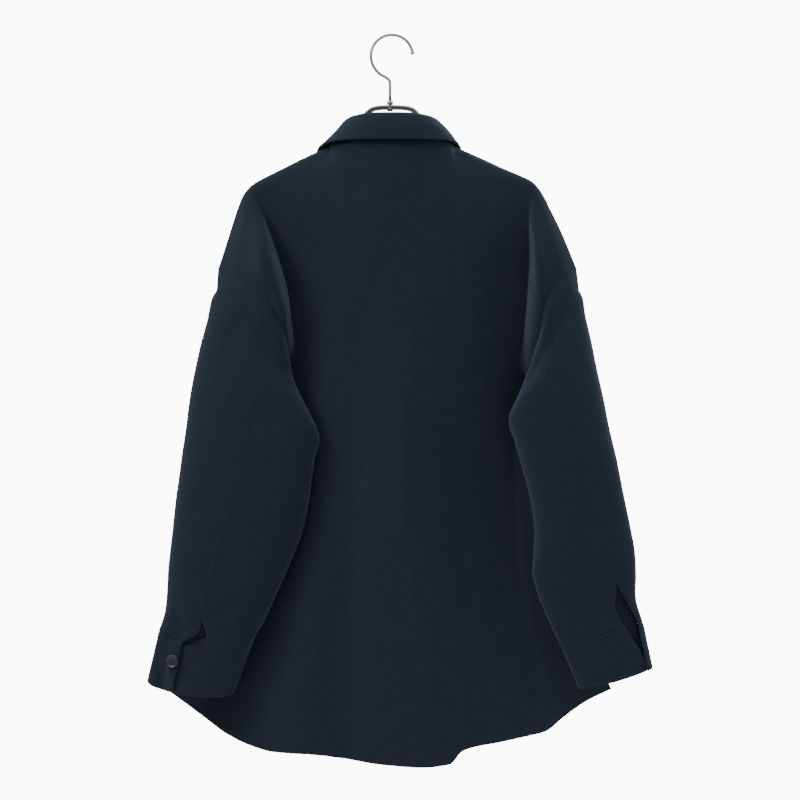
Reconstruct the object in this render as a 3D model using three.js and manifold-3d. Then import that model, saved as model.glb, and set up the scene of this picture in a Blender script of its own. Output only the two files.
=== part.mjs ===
// A long, loose wool shirt-jacket on a clothes hanger, made as its maker cuts and sews it.
// Millimetres, +Z up. The wearer's front faces -Y, the wearer's left is +X.
// The origin is the seat of the hook: the highest point on the inside of its curve.
import * as THREE from 'three';
import Module from 'manifold-3d';
import { mergeVertices } from 'three/addons/utils/BufferGeometryUtils.js';

// Cloth and seams
const CLOTH = 2.0;
const COLLAR_CLOTH = 2.6;
const SEAM_GAP = 0.3;
const CORNER_DRAW = 1.8;

// Rows and columns of the cloth grids
const ARMHOLE_ROWS = 12;
const SIDE_ROWS = 12;
const SHOULDER_COLUMNS = 6;
const DROP_SHARES = [1, 0.72, 0.5, 0.31, 0.14];
const NECK_BACK_COLUMNS = 4;
const NECK_FRONT_COLUMNS = 5;
const CUFF_ROWS = 2;

// How the rows gather near the shoulder line, and how far its shape reaches down the panel
const ROW_GATHER = 1.8;
const SHOULDER_REACH = 0.15;

// How far down the panel the columns under the collar take to spread out evenly
const NECK_SPREAD = 0.22;

// The cloth rolls over the hanger's bar within a few millimetres of the shoulder seam
const BAR_ROLL = { depth: 7.2, within: 1.5, lineLength: 270, neckShare: 0.6 };

const SLEEVE_HEAD = { share: 0.35, roll: 5, sag: 3 };
// Where round the wrist the cloth is pinched in beside the slit, in degrees, and how far that spreads
const PINCH = { at: 50, spread: 13 };

// Half the step between the lapped layers of the fronts and of the collar stand
const LAP_HALF_STEP = 1.9;

// Hanger
const HANGER = { flange: 4.5, ridge: 3, web: 1.5, depth: 7, tip: 183, under: 2 };
const BOSS = { radius: 4, length: 7, up: -97.6 };
const HOOK = { wire: 2, seatRadius: 26.2, tipBall: 2.7, stem: 2.4, sides: 8 };
const NUT = { radius: 4.3, top: -87.2, bottom: -92.2 };

// Buttons
const BUTTON = { radius: 9, thickness: 3.2, rim: 1.6, dish: 0.7, sides: 14, stand: 0.3 };
// How finely the cloth under a button is searched for its highest point, in rows or columns
const SEAT_STEP = 0.1;
// The front buttons are evenly spaced between these two heights
const FRONT_BUTTONS = { top: -258, bottom: -786, count: 6 };

const CLOTH_COLOUR = 0x1d232c;
const HANGER_COLOUR = 0x6f6e69;

// Each table below is a line of the garment. Its rows give a place `at` along the line, then how far
// the point lies out from the middle, how far back from the hanger's plane, and how high.

// The neck seam: 0 centre back, 1 shoulder seam, 2 centre front, 2.25 the end of the button stand
const NECK_SEAM = [
  { at: 0, out: 0, back: 44, up: -139 },
  { at: 0.1, out: 9, back: 43.8, up: -139 },
  { at: 0.35, out: 34, back: 39.5, up: -140 },
  { at: 0.7, out: 64, back: 24, up: -143.5 },
  { at: 1, out: 84, back: 0, up: -149 },
  { at: 1.25, out: 81, back: -22, up: -160 },
  { at: 1.5, out: 66, back: -41, up: -179 },
  { at: 1.75, out: 37, back: -54, up: -199 },
  { at: 2, out: 0, back: -59, up: -209 },
  { at: 2.25, out: -17, back: -58.5, up: -208.5 },
];

// The top of the collar stand, along which the collar folds over
const COLLAR_FOLD = [
  { at: 0, out: 0, back: 38, up: -111.5 },
  { at: 0.1, out: 9, back: 37.8, up: -111.5 },
  { at: 0.35, out: 27, back: 34, up: -112 },
  { at: 0.7, out: 50, back: 20, up: -114.5 },
  { at: 1, out: 62, back: -1, up: -121 },
  { at: 1.25, out: 59, back: -19, up: -132 },
  { at: 1.5, out: 49, back: -35, up: -150 },
  { at: 1.75, out: 28, back: -46, up: -169 },
  { at: 2, out: 0, back: -50, up: -179 },
  { at: 2.25, out: -17, back: -49.5, up: -178.5 },
];

// The outer edge of the collar, from centre back to the collar's point
const COLLAR_EDGE = [
  { at: 0, out: 0, back: 52, up: -142 },
  { at: 0.1, out: 10, back: 51.9, up: -142 },
  { at: 0.35, out: 38, back: 47, up: -142 },
  { at: 0.7, out: 72, back: 31, up: -142 },
  { at: 1, out: 92.5, back: 4, up: -147 },
  { at: 1.25, out: 99, back: -24, up: -165 },
  { at: 1.5, out: 88, back: -50, up: -190 },
  { at: 1.75, out: 72, back: -68, up: -222 },
  { at: 2, out: 50, back: -76, up: -244 },
];

// How the collar rolls over its fold: steps along the stand, outwards and up
const COLLAR_ROLL = [
  { along: 0, out: 0, up: 0 },
  { along: 3, out: 0.6, up: 0 },
  { along: 0, out: 3.5, up: 5 },
  { along: 0, out: 8, up: 2 },
];
const COLLAR_FALL = [
  { share: 0.33, bow: 2 },
  { share: 0.67, bow: 1.6 },
  { share: 1, bow: 0 },
];

// The middle of the back and of the front: 0 neck, 1 underarm level, 2 hem
const BACK_MIDDLE = [
  { at: 0, back: 44, up: -139 },
  { at: 0.1, back: 46.5, up: -172 },
  { at: 0.4, back: 49, up: -265 },
  { at: 1, back: 46, up: -460 },
  { at: 1.5, back: 42, up: -717 },
  { at: 2, back: 34, up: -974 },
];
const FRONT_MIDDLE = [
  { at: 0, back: -59, up: -209 },
  { at: 0.1, back: -62, up: -234 },
  { at: 0.4, back: -71, up: -306 },
  { at: 1, back: -76, up: -468 },
  { at: 1.5, back: -74, up: -712 },
  { at: 2, back: -68, up: -956 },
];

// Each side has its own lines, because the jacket hangs a little to one side and no sleeve is alike
const LEFT = {
  name: 'left',
  sign: 1,
  // The shoulder seam: 0 neck, 1 over the hanger's tip, 2 the top of the armhole
  shoulder: [
    { at: 0, out: 84, back: 0, up: -149 },
    { at: 0.33, out: 118, back: 0, up: -164.5 },
    { at: 0.66, out: 150, back: 0, up: -180.5 },
    { at: 0.85, out: 172, back: 0, up: -191.5 },
    { at: 1, out: 189, back: 0, up: -201.5 },
    { at: 1.2, out: 200, back: 1, up: -214 },
    { at: 1.45, out: 209, back: 2, up: -236 },
    { at: 1.7, out: 219.5, back: 3, up: -269 },
    { at: 2, out: 233, back: 4, up: -311 },
  ],
  // The crease where the body falls away from the dropped shoulder, carried down to the hem
  backCrease: [
    { at: 0, out: 189, back: 0, up: -201.5 },
    { at: 0.05, out: 181, back: 5, up: -216 },
    { at: 0.15, out: 170, back: 7, up: -247 },
    { at: 0.32, out: 154, back: 6, up: -296 },
    { at: 0.52, out: 140, back: 4, up: -348 },
    { at: 0.8, out: 132, back: 1, up: -416 },
    { at: 1, out: 128, back: 2, up: -462 },
    { at: 1.25, out: 132, back: 8, up: -578 },
    { at: 1.5, out: 150, back: 6, up: -698 },
    { at: 2, out: 196, back: 2, up: -948 },
  ],
  frontCrease: [
    { at: 0, out: 189, back: 0, up: -201.5 },
    { at: 0.05, out: 182, back: -7, up: -217 },
    { at: 0.15, out: 173, back: -13, up: -248 },
    { at: 0.32, out: 160, back: -17, up: -297 },
    { at: 0.5, out: 151, back: -20, up: -342 },
    { at: 0.8, out: 143, back: -27, up: -418 },
    { at: 1, out: 140, back: -36, up: -464 },
    { at: 1.5, out: 163, back: -58, up: -700 },
    { at: 2, out: 200, back: -58, up: -938 },
  ],
  // The armhole seam from the top of the armhole down to the underarm
  backArmhole: [
    { at: 0, out: 233, back: 4, up: -311 },
    { at: 0.12, out: 211, back: 30, up: -327 },
    { at: 0.27, out: 187, back: 42, up: -341 },
    { at: 0.42, out: 164, back: 46, up: -357 },
    { at: 0.54, out: 152, back: 43, up: -380 },
    { at: 0.68, out: 142, back: 32, up: -408 },
    { at: 0.82, out: 141, back: 17, up: -437 },
    { at: 0.92, out: 150, back: -1, up: -457 },
    { at: 1, out: 165, back: -19, up: -466 },
  ],
  frontArmhole: [
    { at: 0, out: 233, back: 4, up: -311 },
    { at: 0.12, out: 217, back: -18, up: -327 },
    { at: 0.27, out: 198, back: -34, up: -344 },
    { at: 0.42, out: 182, back: -44, up: -366 },
    { at: 0.58, out: 172, back: -48, up: -395 },
    { at: 0.75, out: 166, back: -44, up: -426 },
    { at: 0.9, out: 164, back: -33, up: -453 },
    { at: 1, out: 165, back: -19, up: -466 },
  ],
  sideSeam: [
    { at: 1, out: 165, back: -19, up: -466 },
    { at: 1.1, out: 171, back: -31, up: -506 },
    { at: 1.35, out: 193, back: -43, up: -605 },
    { at: 1.6, out: 232, back: -45, up: -715 },
    { at: 1.8, out: 267, back: -44, up: -795 },
    { at: 2, out: 306, back: -40, up: -885 },
  ],
  dropBulge: { back: 26, front: -14 },
  collarLie: { fold: 0.94, edge: 1.05, bow: -0.6, drop: 3 },
  // Across the sleeve: its outer and inner edges; how far its cloth stands out to the back, to the
  // front and, where it lies behind the body, to the front there; how far the front drops below the
  // line of the edges; the angles, from the outer edge round the back, of the back seam's two pieces
  // and of the underarm seam; how far the cloth is pinched in near the slit. The last two rows are
  // the top and the bottom of the cuff.
  sleeve: [
    { outerOut: 240, outerUp: -350, outerBack: 5, innerOut: 126, innerUp: -480, innerBack: 22,
      depthBack: 38, depthFront: 52, depthUnder: 8, drop: 60,
      upperEdge: 88, underEdge: 88, underarm: 250, lift: 0 },
    { outerOut: 248, outerUp: -384, outerBack: 8, innerOut: 99, innerUp: -534, innerBack: 32,
      depthBack: 41, depthFront: 45, depthUnder: 14, drop: 46,
      upperEdge: 90, underEdge: 90, underarm: 252, lift: 0 },
    { outerOut: 256, outerUp: -414, outerBack: 12, innerOut: 104, innerUp: -566, innerBack: 34,
      depthBack: 42, depthFront: 36, depthUnder: 18, drop: 34,
      upperEdge: 90, underEdge: 90, underarm: 250, lift: 0 },
    { outerOut: 263, outerUp: -446, outerBack: 16, innerOut: 108, innerUp: -597, innerBack: 34,
      depthBack: 42, depthFront: 31, depthUnder: 22, drop: 22,
      upperEdge: 89, underEdge: 89, underarm: 246, lift: 0 },
    { outerOut: 270, outerUp: -487, outerBack: 20, innerOut: 113, innerUp: -634, innerBack: 33,
      depthBack: 41, depthFront: 28, depthUnder: 24, drop: 12,
      upperEdge: 88, underEdge: 88, underarm: 240, lift: 0 },
    { outerOut: 276, outerUp: -530, outerBack: 23, innerOut: 122, innerUp: -671, innerBack: 32,
      depthBack: 39, depthFront: 27, depthUnder: 25, drop: 5,
      upperEdge: 88, underEdge: 88, underarm: 234, lift: 0 },
    { outerOut: 283, outerUp: -578, outerBack: 25, innerOut: 136, innerUp: -707, innerBack: 31,
      depthBack: 37, depthFront: 25, depthUnder: 25, drop: 0,
      upperEdge: 88, underEdge: 88, underarm: 228, lift: 0 },
    { outerOut: 289, outerUp: -625, outerBack: 26, innerOut: 152, innerUp: -744, innerBack: 30,
      depthBack: 35, depthFront: 24, depthUnder: 24, drop: 0,
      upperEdge: 87, underEdge: 87, underarm: 222, lift: 0 },
    { outerOut: 294, outerUp: -672, outerBack: 27, innerOut: 169, innerUp: -780, innerBack: 29,
      depthBack: 32, depthFront: 22, depthUnder: 22, drop: 0,
      upperEdge: 85, underEdge: 85, underarm: 218, lift: 0 },
    { outerOut: 299, outerUp: -715, outerBack: 27, innerOut: 183, innerUp: -807, innerBack: 28,
      depthBack: 29, depthFront: 20, depthUnder: 20, drop: 0,
      upperEdge: 86, underEdge: 86, underarm: 218, lift: 0 },
    { outerOut: 301, outerUp: -750, outerBack: 26, innerOut: 192, innerUp: -829, innerBack: 27,
      depthBack: 25, depthFront: 18, depthUnder: 18, drop: 0,
      upperEdge: 83, underEdge: 83, underarm: 218, lift: 0 },
    { outerOut: 303, outerUp: -776, outerBack: 25, innerOut: 196, innerUp: -841, innerBack: 27,
      depthBack: 21, depthFront: 17, depthUnder: 17, drop: 0,
      upperEdge: 80, underEdge: 90, underarm: 218, lift: 2.2, pinch: 3 },
    { outerOut: 311, outerUp: -803, outerBack: 24, innerOut: 200, innerUp: -853, innerBack: 26,
      depthBack: 18, depthFront: 16, depthUnder: 16, drop: 0,
      upperEdge: 64, underEdge: 46, underarm: 218, lift: 2.5, sag: 0, pinch: 5 },
    { outerOut: 326, outerUp: -869, outerBack: 23, innerOut: 213, innerUp: -883, innerBack: 25,
      depthBack: 18, depthFront: 15, depthUnder: 15, drop: 0,
      upperEdge: 66, underEdge: 20, underarm: 218, lift: 2.2, sag: 11, pinch: 7 },
  ],
  cuffButton: { fromEdge: 0.55, share: 0.4 },
};

const RIGHT = {
  name: 'right',
  sign: -1,
  shoulder: [
    { at: 0, out: 84, back: 0, up: -149 },
    { at: 0.33, out: 117, back: 0, up: -163.5 },
    { at: 0.66, out: 151, back: 0, up: -179 },
    { at: 0.85, out: 174, back: 0, up: -188.8 },
    { at: 1, out: 190, back: 0, up: -197 },
    { at: 1.2, out: 202, back: 1, up: -211 },
    { at: 1.45, out: 215, back: 2, up: -236 },
    { at: 1.7, out: 230, back: 3, up: -267 },
    { at: 2, out: 248, back: 4, up: -311 },
  ],
  backCrease: [
    { at: 0, out: 190, back: 0, up: -197 },
    { at: 0.05, out: 187, back: 5, up: -212 },
    { at: 0.15, out: 185, back: 7, up: -244 },
    { at: 0.32, out: 186, back: 5, up: -294 },
    { at: 0.5, out: 184, back: 2, up: -340 },
    { at: 0.8, out: 178, back: -2, up: -416 },
    { at: 1, out: 170, back: -5, up: -464 },
    { at: 1.25, out: 164, back: -6, up: -578 },
    { at: 1.5, out: 168, back: -2, up: -698 },
    { at: 2, out: 200, back: 2, up: -938 },
  ],
  frontCrease: [
    { at: 0, out: 190, back: 0, up: -197 },
    { at: 0.05, out: 187, back: -7, up: -213 },
    { at: 0.15, out: 183, back: -12, up: -245 },
    { at: 0.32, out: 177, back: -16, up: -296 },
    { at: 0.5, out: 170, back: -20, up: -342 },
    { at: 0.8, out: 160, back: -28, up: -418 },
    { at: 1, out: 155, back: -37, up: -464 },
    { at: 1.5, out: 170, back: -58, up: -700 },
    { at: 2, out: 200, back: -58, up: -938 },
  ],
  backArmhole: [
    { at: 0, out: 248, back: 4, up: -311 },
    { at: 0.12, out: 232, back: 27, up: -325 },
    { at: 0.27, out: 214, back: 36, up: -342 },
    { at: 0.42, out: 204, back: 38, up: -370 },
    { at: 0.54, out: 201, back: 35, up: -393 },
    { at: 0.68, out: 194, back: 26, up: -420 },
    { at: 0.82, out: 187, back: 12, up: -446 },
    { at: 0.92, out: 184, back: -2, up: -462 },
    { at: 1, out: 187, back: -20, up: -472 },
  ],
  frontArmhole: [
    { at: 0, out: 248, back: 4, up: -311 },
    { at: 0.12, out: 231, back: -18, up: -327 },
    { at: 0.27, out: 213, back: -34, up: -344 },
    { at: 0.42, out: 198, back: -44, up: -367 },
    { at: 0.58, out: 189, back: -48, up: -397 },
    { at: 0.75, out: 184, back: -44, up: -430 },
    { at: 0.9, out: 184, back: -33, up: -458 },
    { at: 1, out: 187, back: -20, up: -472 },
  ],
  sideSeam: [
    { at: 1, out: 187, back: -20, up: -472 },
    { at: 1.1, out: 191, back: -32, up: -508 },
    { at: 1.35, out: 204, back: -43, up: -605 },
    { at: 1.6, out: 230, back: -45, up: -715 },
    { at: 1.8, out: 262, back: -44, up: -795 },
    { at: 2, out: 299, back: -40, up: -884 },
  ],
  dropBulge: { back: 16, front: -14 },
  collarLie: { fold: 0.94, edge: 0.97, bow: 1, drop: 0 },
  sleeve: [
    { outerOut: 255, outerUp: -348, outerBack: 5, innerOut: 172, innerUp: -482, innerBack: 16,
      depthBack: 33, depthFront: 50, depthUnder: 8, drop: 60,
      upperEdge: 86, underEdge: 86, underarm: 250, lift: 0 },
    { outerOut: 261, outerUp: -380, outerBack: 9, innerOut: 158, innerUp: -515, innerBack: 26,
      depthBack: 37, depthFront: 44, depthUnder: 14, drop: 46,
      upperEdge: 84, underEdge: 84, underarm: 252, lift: 0 },
    { outerOut: 268, outerUp: -413, outerBack: 13, innerOut: 165, innerUp: -541, innerBack: 30,
      depthBack: 39, depthFront: 36, depthUnder: 18, drop: 34,
      upperEdge: 82, underEdge: 82, underarm: 250, lift: 0 },
    { outerOut: 275, outerUp: -449, outerBack: 17, innerOut: 173, innerUp: -569, innerBack: 31,
      depthBack: 40, depthFront: 31, depthUnder: 22, drop: 22,
      upperEdge: 81, underEdge: 81, underarm: 246, lift: 0 },
    { outerOut: 284, outerUp: -490, outerBack: 21, innerOut: 181, innerUp: -601, innerBack: 31,
      depthBack: 39, depthFront: 28, depthUnder: 24, drop: 12,
      upperEdge: 81, underEdge: 81, underarm: 240, lift: 0 },
    { outerOut: 292, outerUp: -530, outerBack: 24, innerOut: 189, innerUp: -634, innerBack: 31,
      depthBack: 38, depthFront: 27, depthUnder: 25, drop: 5,
      upperEdge: 82, underEdge: 82, underarm: 234, lift: 0 },
    { outerOut: 302, outerUp: -572, outerBack: 26, innerOut: 192, innerUp: -666, innerBack: 30,
      depthBack: 36, depthFront: 26, depthUnder: 26, drop: 0,
      upperEdge: 82, underEdge: 82, underarm: 228, lift: 0 },
    { outerOut: 310, outerUp: -614, outerBack: 28, innerOut: 191, innerUp: -697, innerBack: 30,
      depthBack: 34, depthFront: 24, depthUnder: 24, drop: 0,
      upperEdge: 80, underEdge: 80, underarm: 222, lift: 0 },
    { outerOut: 318.5, outerUp: -655, outerBack: 28, innerOut: 190, innerUp: -724, innerBack: 29,
      depthBack: 32, depthFront: 22, depthUnder: 22, drop: 0,
      upperEdge: 75, underEdge: 75, underarm: 218, lift: 0 },
    { outerOut: 325, outerUp: -692, outerBack: 28, innerOut: 196, innerUp: -748, innerBack: 28,
      depthBack: 29, depthFront: 20, depthUnder: 20, drop: 0,
      upperEdge: 66, underEdge: 66, underarm: 218, lift: 0 },
    { outerOut: 327, outerUp: -726, outerBack: 27, innerOut: 205, innerUp: -771, innerBack: 27,
      depthBack: 25, depthFront: 18, depthUnder: 18, drop: 0,
      upperEdge: 56, underEdge: 56, underarm: 218, lift: 0 },
    { outerOut: 326, outerUp: -760, outerBack: 26, innerOut: 215, innerUp: -796, innerBack: 27,
      depthBack: 22, depthFront: 17, depthUnder: 17, drop: 0,
      upperEdge: 38, underEdge: 58, underarm: 218, lift: 2.2, pinch: 1 },
    { outerOut: 335, outerUp: -790, outerBack: 25, innerOut: 227, innerUp: -820, innerBack: 26,
      depthBack: 19, depthFront: 16, depthUnder: 16, drop: 0,
      upperEdge: 28, underEdge: 52, underarm: 218, lift: 2.2, sag: 0, pinch: 2 },
    { outerOut: 348, outerUp: -851, outerBack: 24, innerOut: 252, innerUp: -878, innerBack: 25,
      depthBack: 17, depthFront: 15, depthUnder: 15, drop: 0,
      upperEdge: 30, underEdge: 14, underarm: 218, lift: 2.2, sag: 4, pinch: 0 },
  ],
  cuffButton: { fromEdge: 6.8, share: 0.5 },
};

const SIDES = [LEFT, RIGHT];

// The hem's height along X, from the right side seam to the left one
const BACK_HEM = [
  { at: -299, up: -884 },
  { at: -263, up: -900 },
  { at: -230, up: -922 },
  { at: -208, up: -938 },
  { at: -186, up: -943 },
  { at: -143, up: -951 },
  { at: -110, up: -956 },
  { at: -91, up: -963 },
  { at: -86, up: -970 },
  { at: -78, up: -977 },
  { at: -35, up: -982 },
  { at: 8, up: -980 },
  { at: 72, up: -971 },
  { at: 115, up: -967 },
  { at: 159, up: -965 },
  { at: 191, up: -957 },
  { at: 224, up: -942 },
  { at: 257, up: -919 },
  { at: 306, up: -885 },
];
const FRONT_HEM = [
  { at: -299, up: -884 },
  { at: -247, up: -907 },
  { at: -180, up: -933 },
  { at: -90, up: -951 },
  { at: 0, up: -956 },
  { at: 90, up: -952 },
  { at: 183, up: -935 },
  { at: 247, up: -909 },
  { at: 306, up: -885 },
];

// Soft folds down the body: where each starts and ends, how far it stands out of the panel (minus for
// a trough), and how far it spreads to the wearer's right and left
const BACK_FOLDS = [
  { topX: -36, topUp: -270, bottomX: -78, bottomUp: -985, rise: 9, toRight: 20, toLeft: 60 },
  { topX: -20, topUp: -230, bottomX: -62, bottomUp: -985, rise: 17, toRight: 95, toLeft: 80 },
  { topX: 14, topUp: -240, bottomX: 58, bottomUp: -760, rise: -5, toRight: 20, toLeft: 28 },
  { topX: -128, topUp: -400, bottomX: -126, bottomUp: -760, rise: 4, toRight: 28, toLeft: 32 },
  { topX: 90, topUp: -560, bottomX: 130, bottomUp: -985, rise: 6, toRight: 30, toLeft: 30 },
  { topX: -150, topUp: -640, bottomX: -190, bottomUp: -960, rise: 4, toRight: 34, toLeft: 34 },
];
const FRONT_FOLDS = [
  { topX: 70, topUp: -300, bottomX: 92, bottomUp: -975, rise: -11, toRight: 34, toLeft: 22 },
  { topX: -66, topUp: -330, bottomX: -104, bottomUp: -975, rise: -12, toRight: 24, toLeft: 36 },
  { topX: 110, topUp: -480, bottomX: 165, bottomUp: -960, rise: 6, toRight: 20, toLeft: 24 },
  { topX: -120, topUp: -520, bottomX: -180, bottomUp: -960, rise: 5, toRight: 24, toLeft: 20 },
];

const wasm = await Module();
wasm.setup();

const UP = new THREE.Vector3(0, 0, 1);

// Tables

// Reads a column of a table at a place along it, on a smooth curve that never overshoots its rows.
function readColumn(rows, column, at) {
  const last = rows.length - 1;
  let row = 0;
  while (row < last - 1 && at > rows[row + 1].at) row += 1;
  const slope = (i) => (rows[i + 1][column] - rows[i][column]) / (rows[i + 1].at - rows[i].at);
  const tangent = (i) => {
    if (i === 0) return slope(0);
    if (i === last) return slope(last - 1);
    const before = slope(i - 1);
    const after = slope(i);
    return before * after <= 0 ? 0 : (2 * before * after) / (before + after);
  };
  const step = rows[row + 1].at - rows[row].at;
  const f = THREE.MathUtils.clamp((at - rows[row].at) / step, 0, 1);
  const start = rows[row][column];
  const rise = rows[row + 1][column] - start;
  const pull = f * (1 - f) * step;
  return start + rise * f * f * (3 - 2 * f) + pull * ((1 - f) * tangent(row) - f * tangent(row + 1));
}

function readPoint(rows, at, sign) {
  const out = readColumn(rows, 'out', at);
  return new THREE.Vector3(sign * out, readColumn(rows, 'back', at), readColumn(rows, 'up', at));
}

const smooth = (value, low, high) => THREE.MathUtils.smoothstep(value, low, high);

// The left front lies over the right one: the lapped layers part near the centre front.
function lapStep(side, at) {
  return -side.sign * LAP_HALF_STEP * smooth(at, 1.5, 1.95);
}

function neckPoint(rows, side, at) {
  const point = readPoint(rows, at, side.sign);
  if (rows === COLLAR_FOLD) point.x *= side.collarLie.fold;
  point.y += lapStep(side, at);
  return point;
}

// Body panels

// How much a panel stands out at a point because of its folds.
function foldRise(folds, x, up) {
  let rise = 0;
  for (const fold of folds) {
    const down = THREE.MathUtils.clamp((fold.topUp - up) / (fold.topUp - fold.bottomUp), 0, 1);
    const from = x - THREE.MathUtils.lerp(fold.topX, fold.bottomX, down);
    const spread = from < 0 ? fold.toRight : fold.toLeft;
    rise += fold.rise * smooth(down, 0, 0.5) * Math.exp(-((from / spread) ** 2));
  }
  return rise;
}

const BACK = {
  face: 1,
  middle: BACK_MIDDLE,
  crease: 'backCrease',
  armhole: 'backArmhole',
  hem: BACK_HEM,
  folds: BACK_FOLDS,
  fullness: 1.9,
};
const FRONT = {
  face: -1,
  middle: FRONT_MIDDLE,
  crease: 'frontCrease',
  armhole: 'frontArmhole',
  hem: FRONT_HEM,
  folds: FRONT_FOLDS,
  fullness: 2.2,
};

// The columns of one half of a panel, from the armhole to the middle or to the button stand's end.
function halfColumns(panel) {
  const columns = [];
  for (const drop of DROP_SHARES) columns.push({ drop, shoulderAt: 1 + drop });
  for (let i = SHOULDER_COLUMNS; i > 0; i -= 1) {
    columns.push({ drop: 0, shoulderAt: i / SHOULDER_COLUMNS });
  }
  if (panel === BACK) {
    for (let i = NECK_BACK_COLUMNS; i >= 0; i -= 1) {
      columns.push({ drop: 0, neckAt: i / NECK_BACK_COLUMNS });
    }
  } else {
    for (let i = 0; i <= NECK_FRONT_COLUMNS; i += 1) {
      columns.push({ drop: 0, neckAt: 1 + i / NECK_FRONT_COLUMNS });
    }
    columns.push({ drop: 0, neckAt: 2.25 });
  }
  return columns;
}

function topPoint(side, column) {
  if (column.neckAt !== undefined) return neckPoint(NECK_SEAM, side, column.neckAt);
  return readPoint(side.shoulder, column.shoulderAt, side.sign);
}

// The edge of a panel: its armhole seam down to the underarm, then its side seam to the hem.
function edgePoint(panel, side, row) {
  if (row <= ARMHOLE_ROWS) return readPoint(side[panel.armhole], row / ARMHOLE_ROWS, side.sign);
  return readPoint(side.sideSeam, 1 + (row - ARMHOLE_ROWS) / SIDE_ROWS, side.sign);
}

// The plain form of the body between its middle and its crease, share 0 to 1.
function bodyForm(panel, side, at, share) {
  const crease = readPoint(side[panel.crease], at, side.sign);
  const middle = readPoint(panel.middle.map((row) => ({ ...row, out: 0 })), at, side.sign);
  const round = 1 - Math.abs(share) ** panel.fullness;
  return new THREE.Vector3(
    crease.x * share,
    THREE.MathUtils.lerp(crease.y, middle.y, round),
    THREE.MathUtils.lerp(crease.z, middle.z, 1 - share * share),
  );
}

// Below the neck seam the columns spread out evenly between the collar's shoulder point and the middle.
function evenShare(side, column, topShare) {
  if (column.neckAt === undefined || column.neckAt > 2) return topShare;
  const neckShare = side.shoulder[0].out / side.shoulder.find((row) => row.at === 1).out;
  return neckShare * (column.neckAt > 1 ? 2 - column.neckAt : column.neckAt);
}

function panelPoint(panel, side, row, column) {
  if (row === 0) return topPoint(side, column);
  if (column.drop === 1) return edgePoint(panel, side, row);
  const down = row / ARMHOLE_ROWS;
  const at = down < 1 ? down ** ROW_GATHER : 1 + (row - ARMHOLE_ROWS) / SIDE_ROWS;
  const top = topPoint(side, column);
  const fade = Math.exp(-at / SHOULDER_REACH);
  const creaseTop = readPoint(side[panel.crease], 0, side.sign);
  const point = new THREE.Vector3();
  if (column.drop > 0) {
    const edgeTop = readPoint(side[panel.armhole], 0, side.sign);
    const edge = edgePoint(panel, side, row);
    point.copy(readPoint(side[panel.crease], at, side.sign)).lerp(edge, column.drop);
    const plainTop = creaseTop.clone().lerp(edgeTop, column.drop);
    point.addScaledVector(top.clone().sub(plainTop), fade);
    const bulge = panel === BACK ? side.dropBulge.back : side.dropBulge.front;
    const fullness = smooth(at, 0, 0.16) * (1 - smooth(at, 0.35, 1));
    point.y += bulge * Math.sin(Math.PI * column.drop) * fullness;
  } else {
    const topShare = top.x / creaseTop.x;
    const spread = smooth(at, 0, NECK_SPREAD);
    const share = THREE.MathUtils.lerp(topShare, evenShare(side, column, topShare), spread);
    point.copy(bodyForm(panel, side, at, share));
    const plainTop = bodyForm(panel, side, 0, topShare);
    point.addScaledVector(top.clone().sub(plainTop), fade);
    if (column.neckAt > 1.5) point.y += lapStep(side, column.neckAt) * (1 - fade);
  }
  const fallen = at * BAR_ROLL.lineLength;
  const rolled = 1 - smooth(Math.abs(1 - (column.neckAt ?? 1)), 0, BAR_ROLL.neckShare);
  point.y += panel.face * BAR_ROLL.depth * (1 - Math.exp(-fallen / BAR_ROLL.within)) * fade * rolled;
  const hemAt = Math.max(0, at - 1);
  const hem = readColumn(panel.hem, 'up', point.x);
  const plainHem = column.drop > 0
    ? THREE.MathUtils.lerp(
      readColumn(side[panel.crease], 'up', 2),
      readColumn(side.sideSeam, 'up', 2),
      column.drop,
    )
    : bodyForm(panel, side, 2, top.x / creaseTop.x).z;
  point.z += (hem - plainHem) * hemAt * hemAt;
  point.y += foldRise(panel.folds, point.x, point.z) * (1 - smooth(column.drop, 0, 1));
  return point;
}

function panelGrid(panel, halves) {
  const grid = [];
  for (let row = 0; row <= ARMHOLE_ROWS + SIDE_ROWS; row += 1) {
    grid.push(halves.map(({ side, column }) => panelPoint(panel, side, row, column)));
  }
  return grid;
}

function backGrid() {
  const right = halfColumns(BACK).map((column) => ({ side: RIGHT, column }));
  const left = halfColumns(BACK).map((column) => ({ side: LEFT, column }));
  left.pop();
  return panelGrid(BACK, [...right, ...left.reverse()]);
}

function frontGrid(side) {
  return panelGrid(FRONT, halfColumns(FRONT).map((column) => ({ side, column })));
}

// Sleeves

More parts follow.
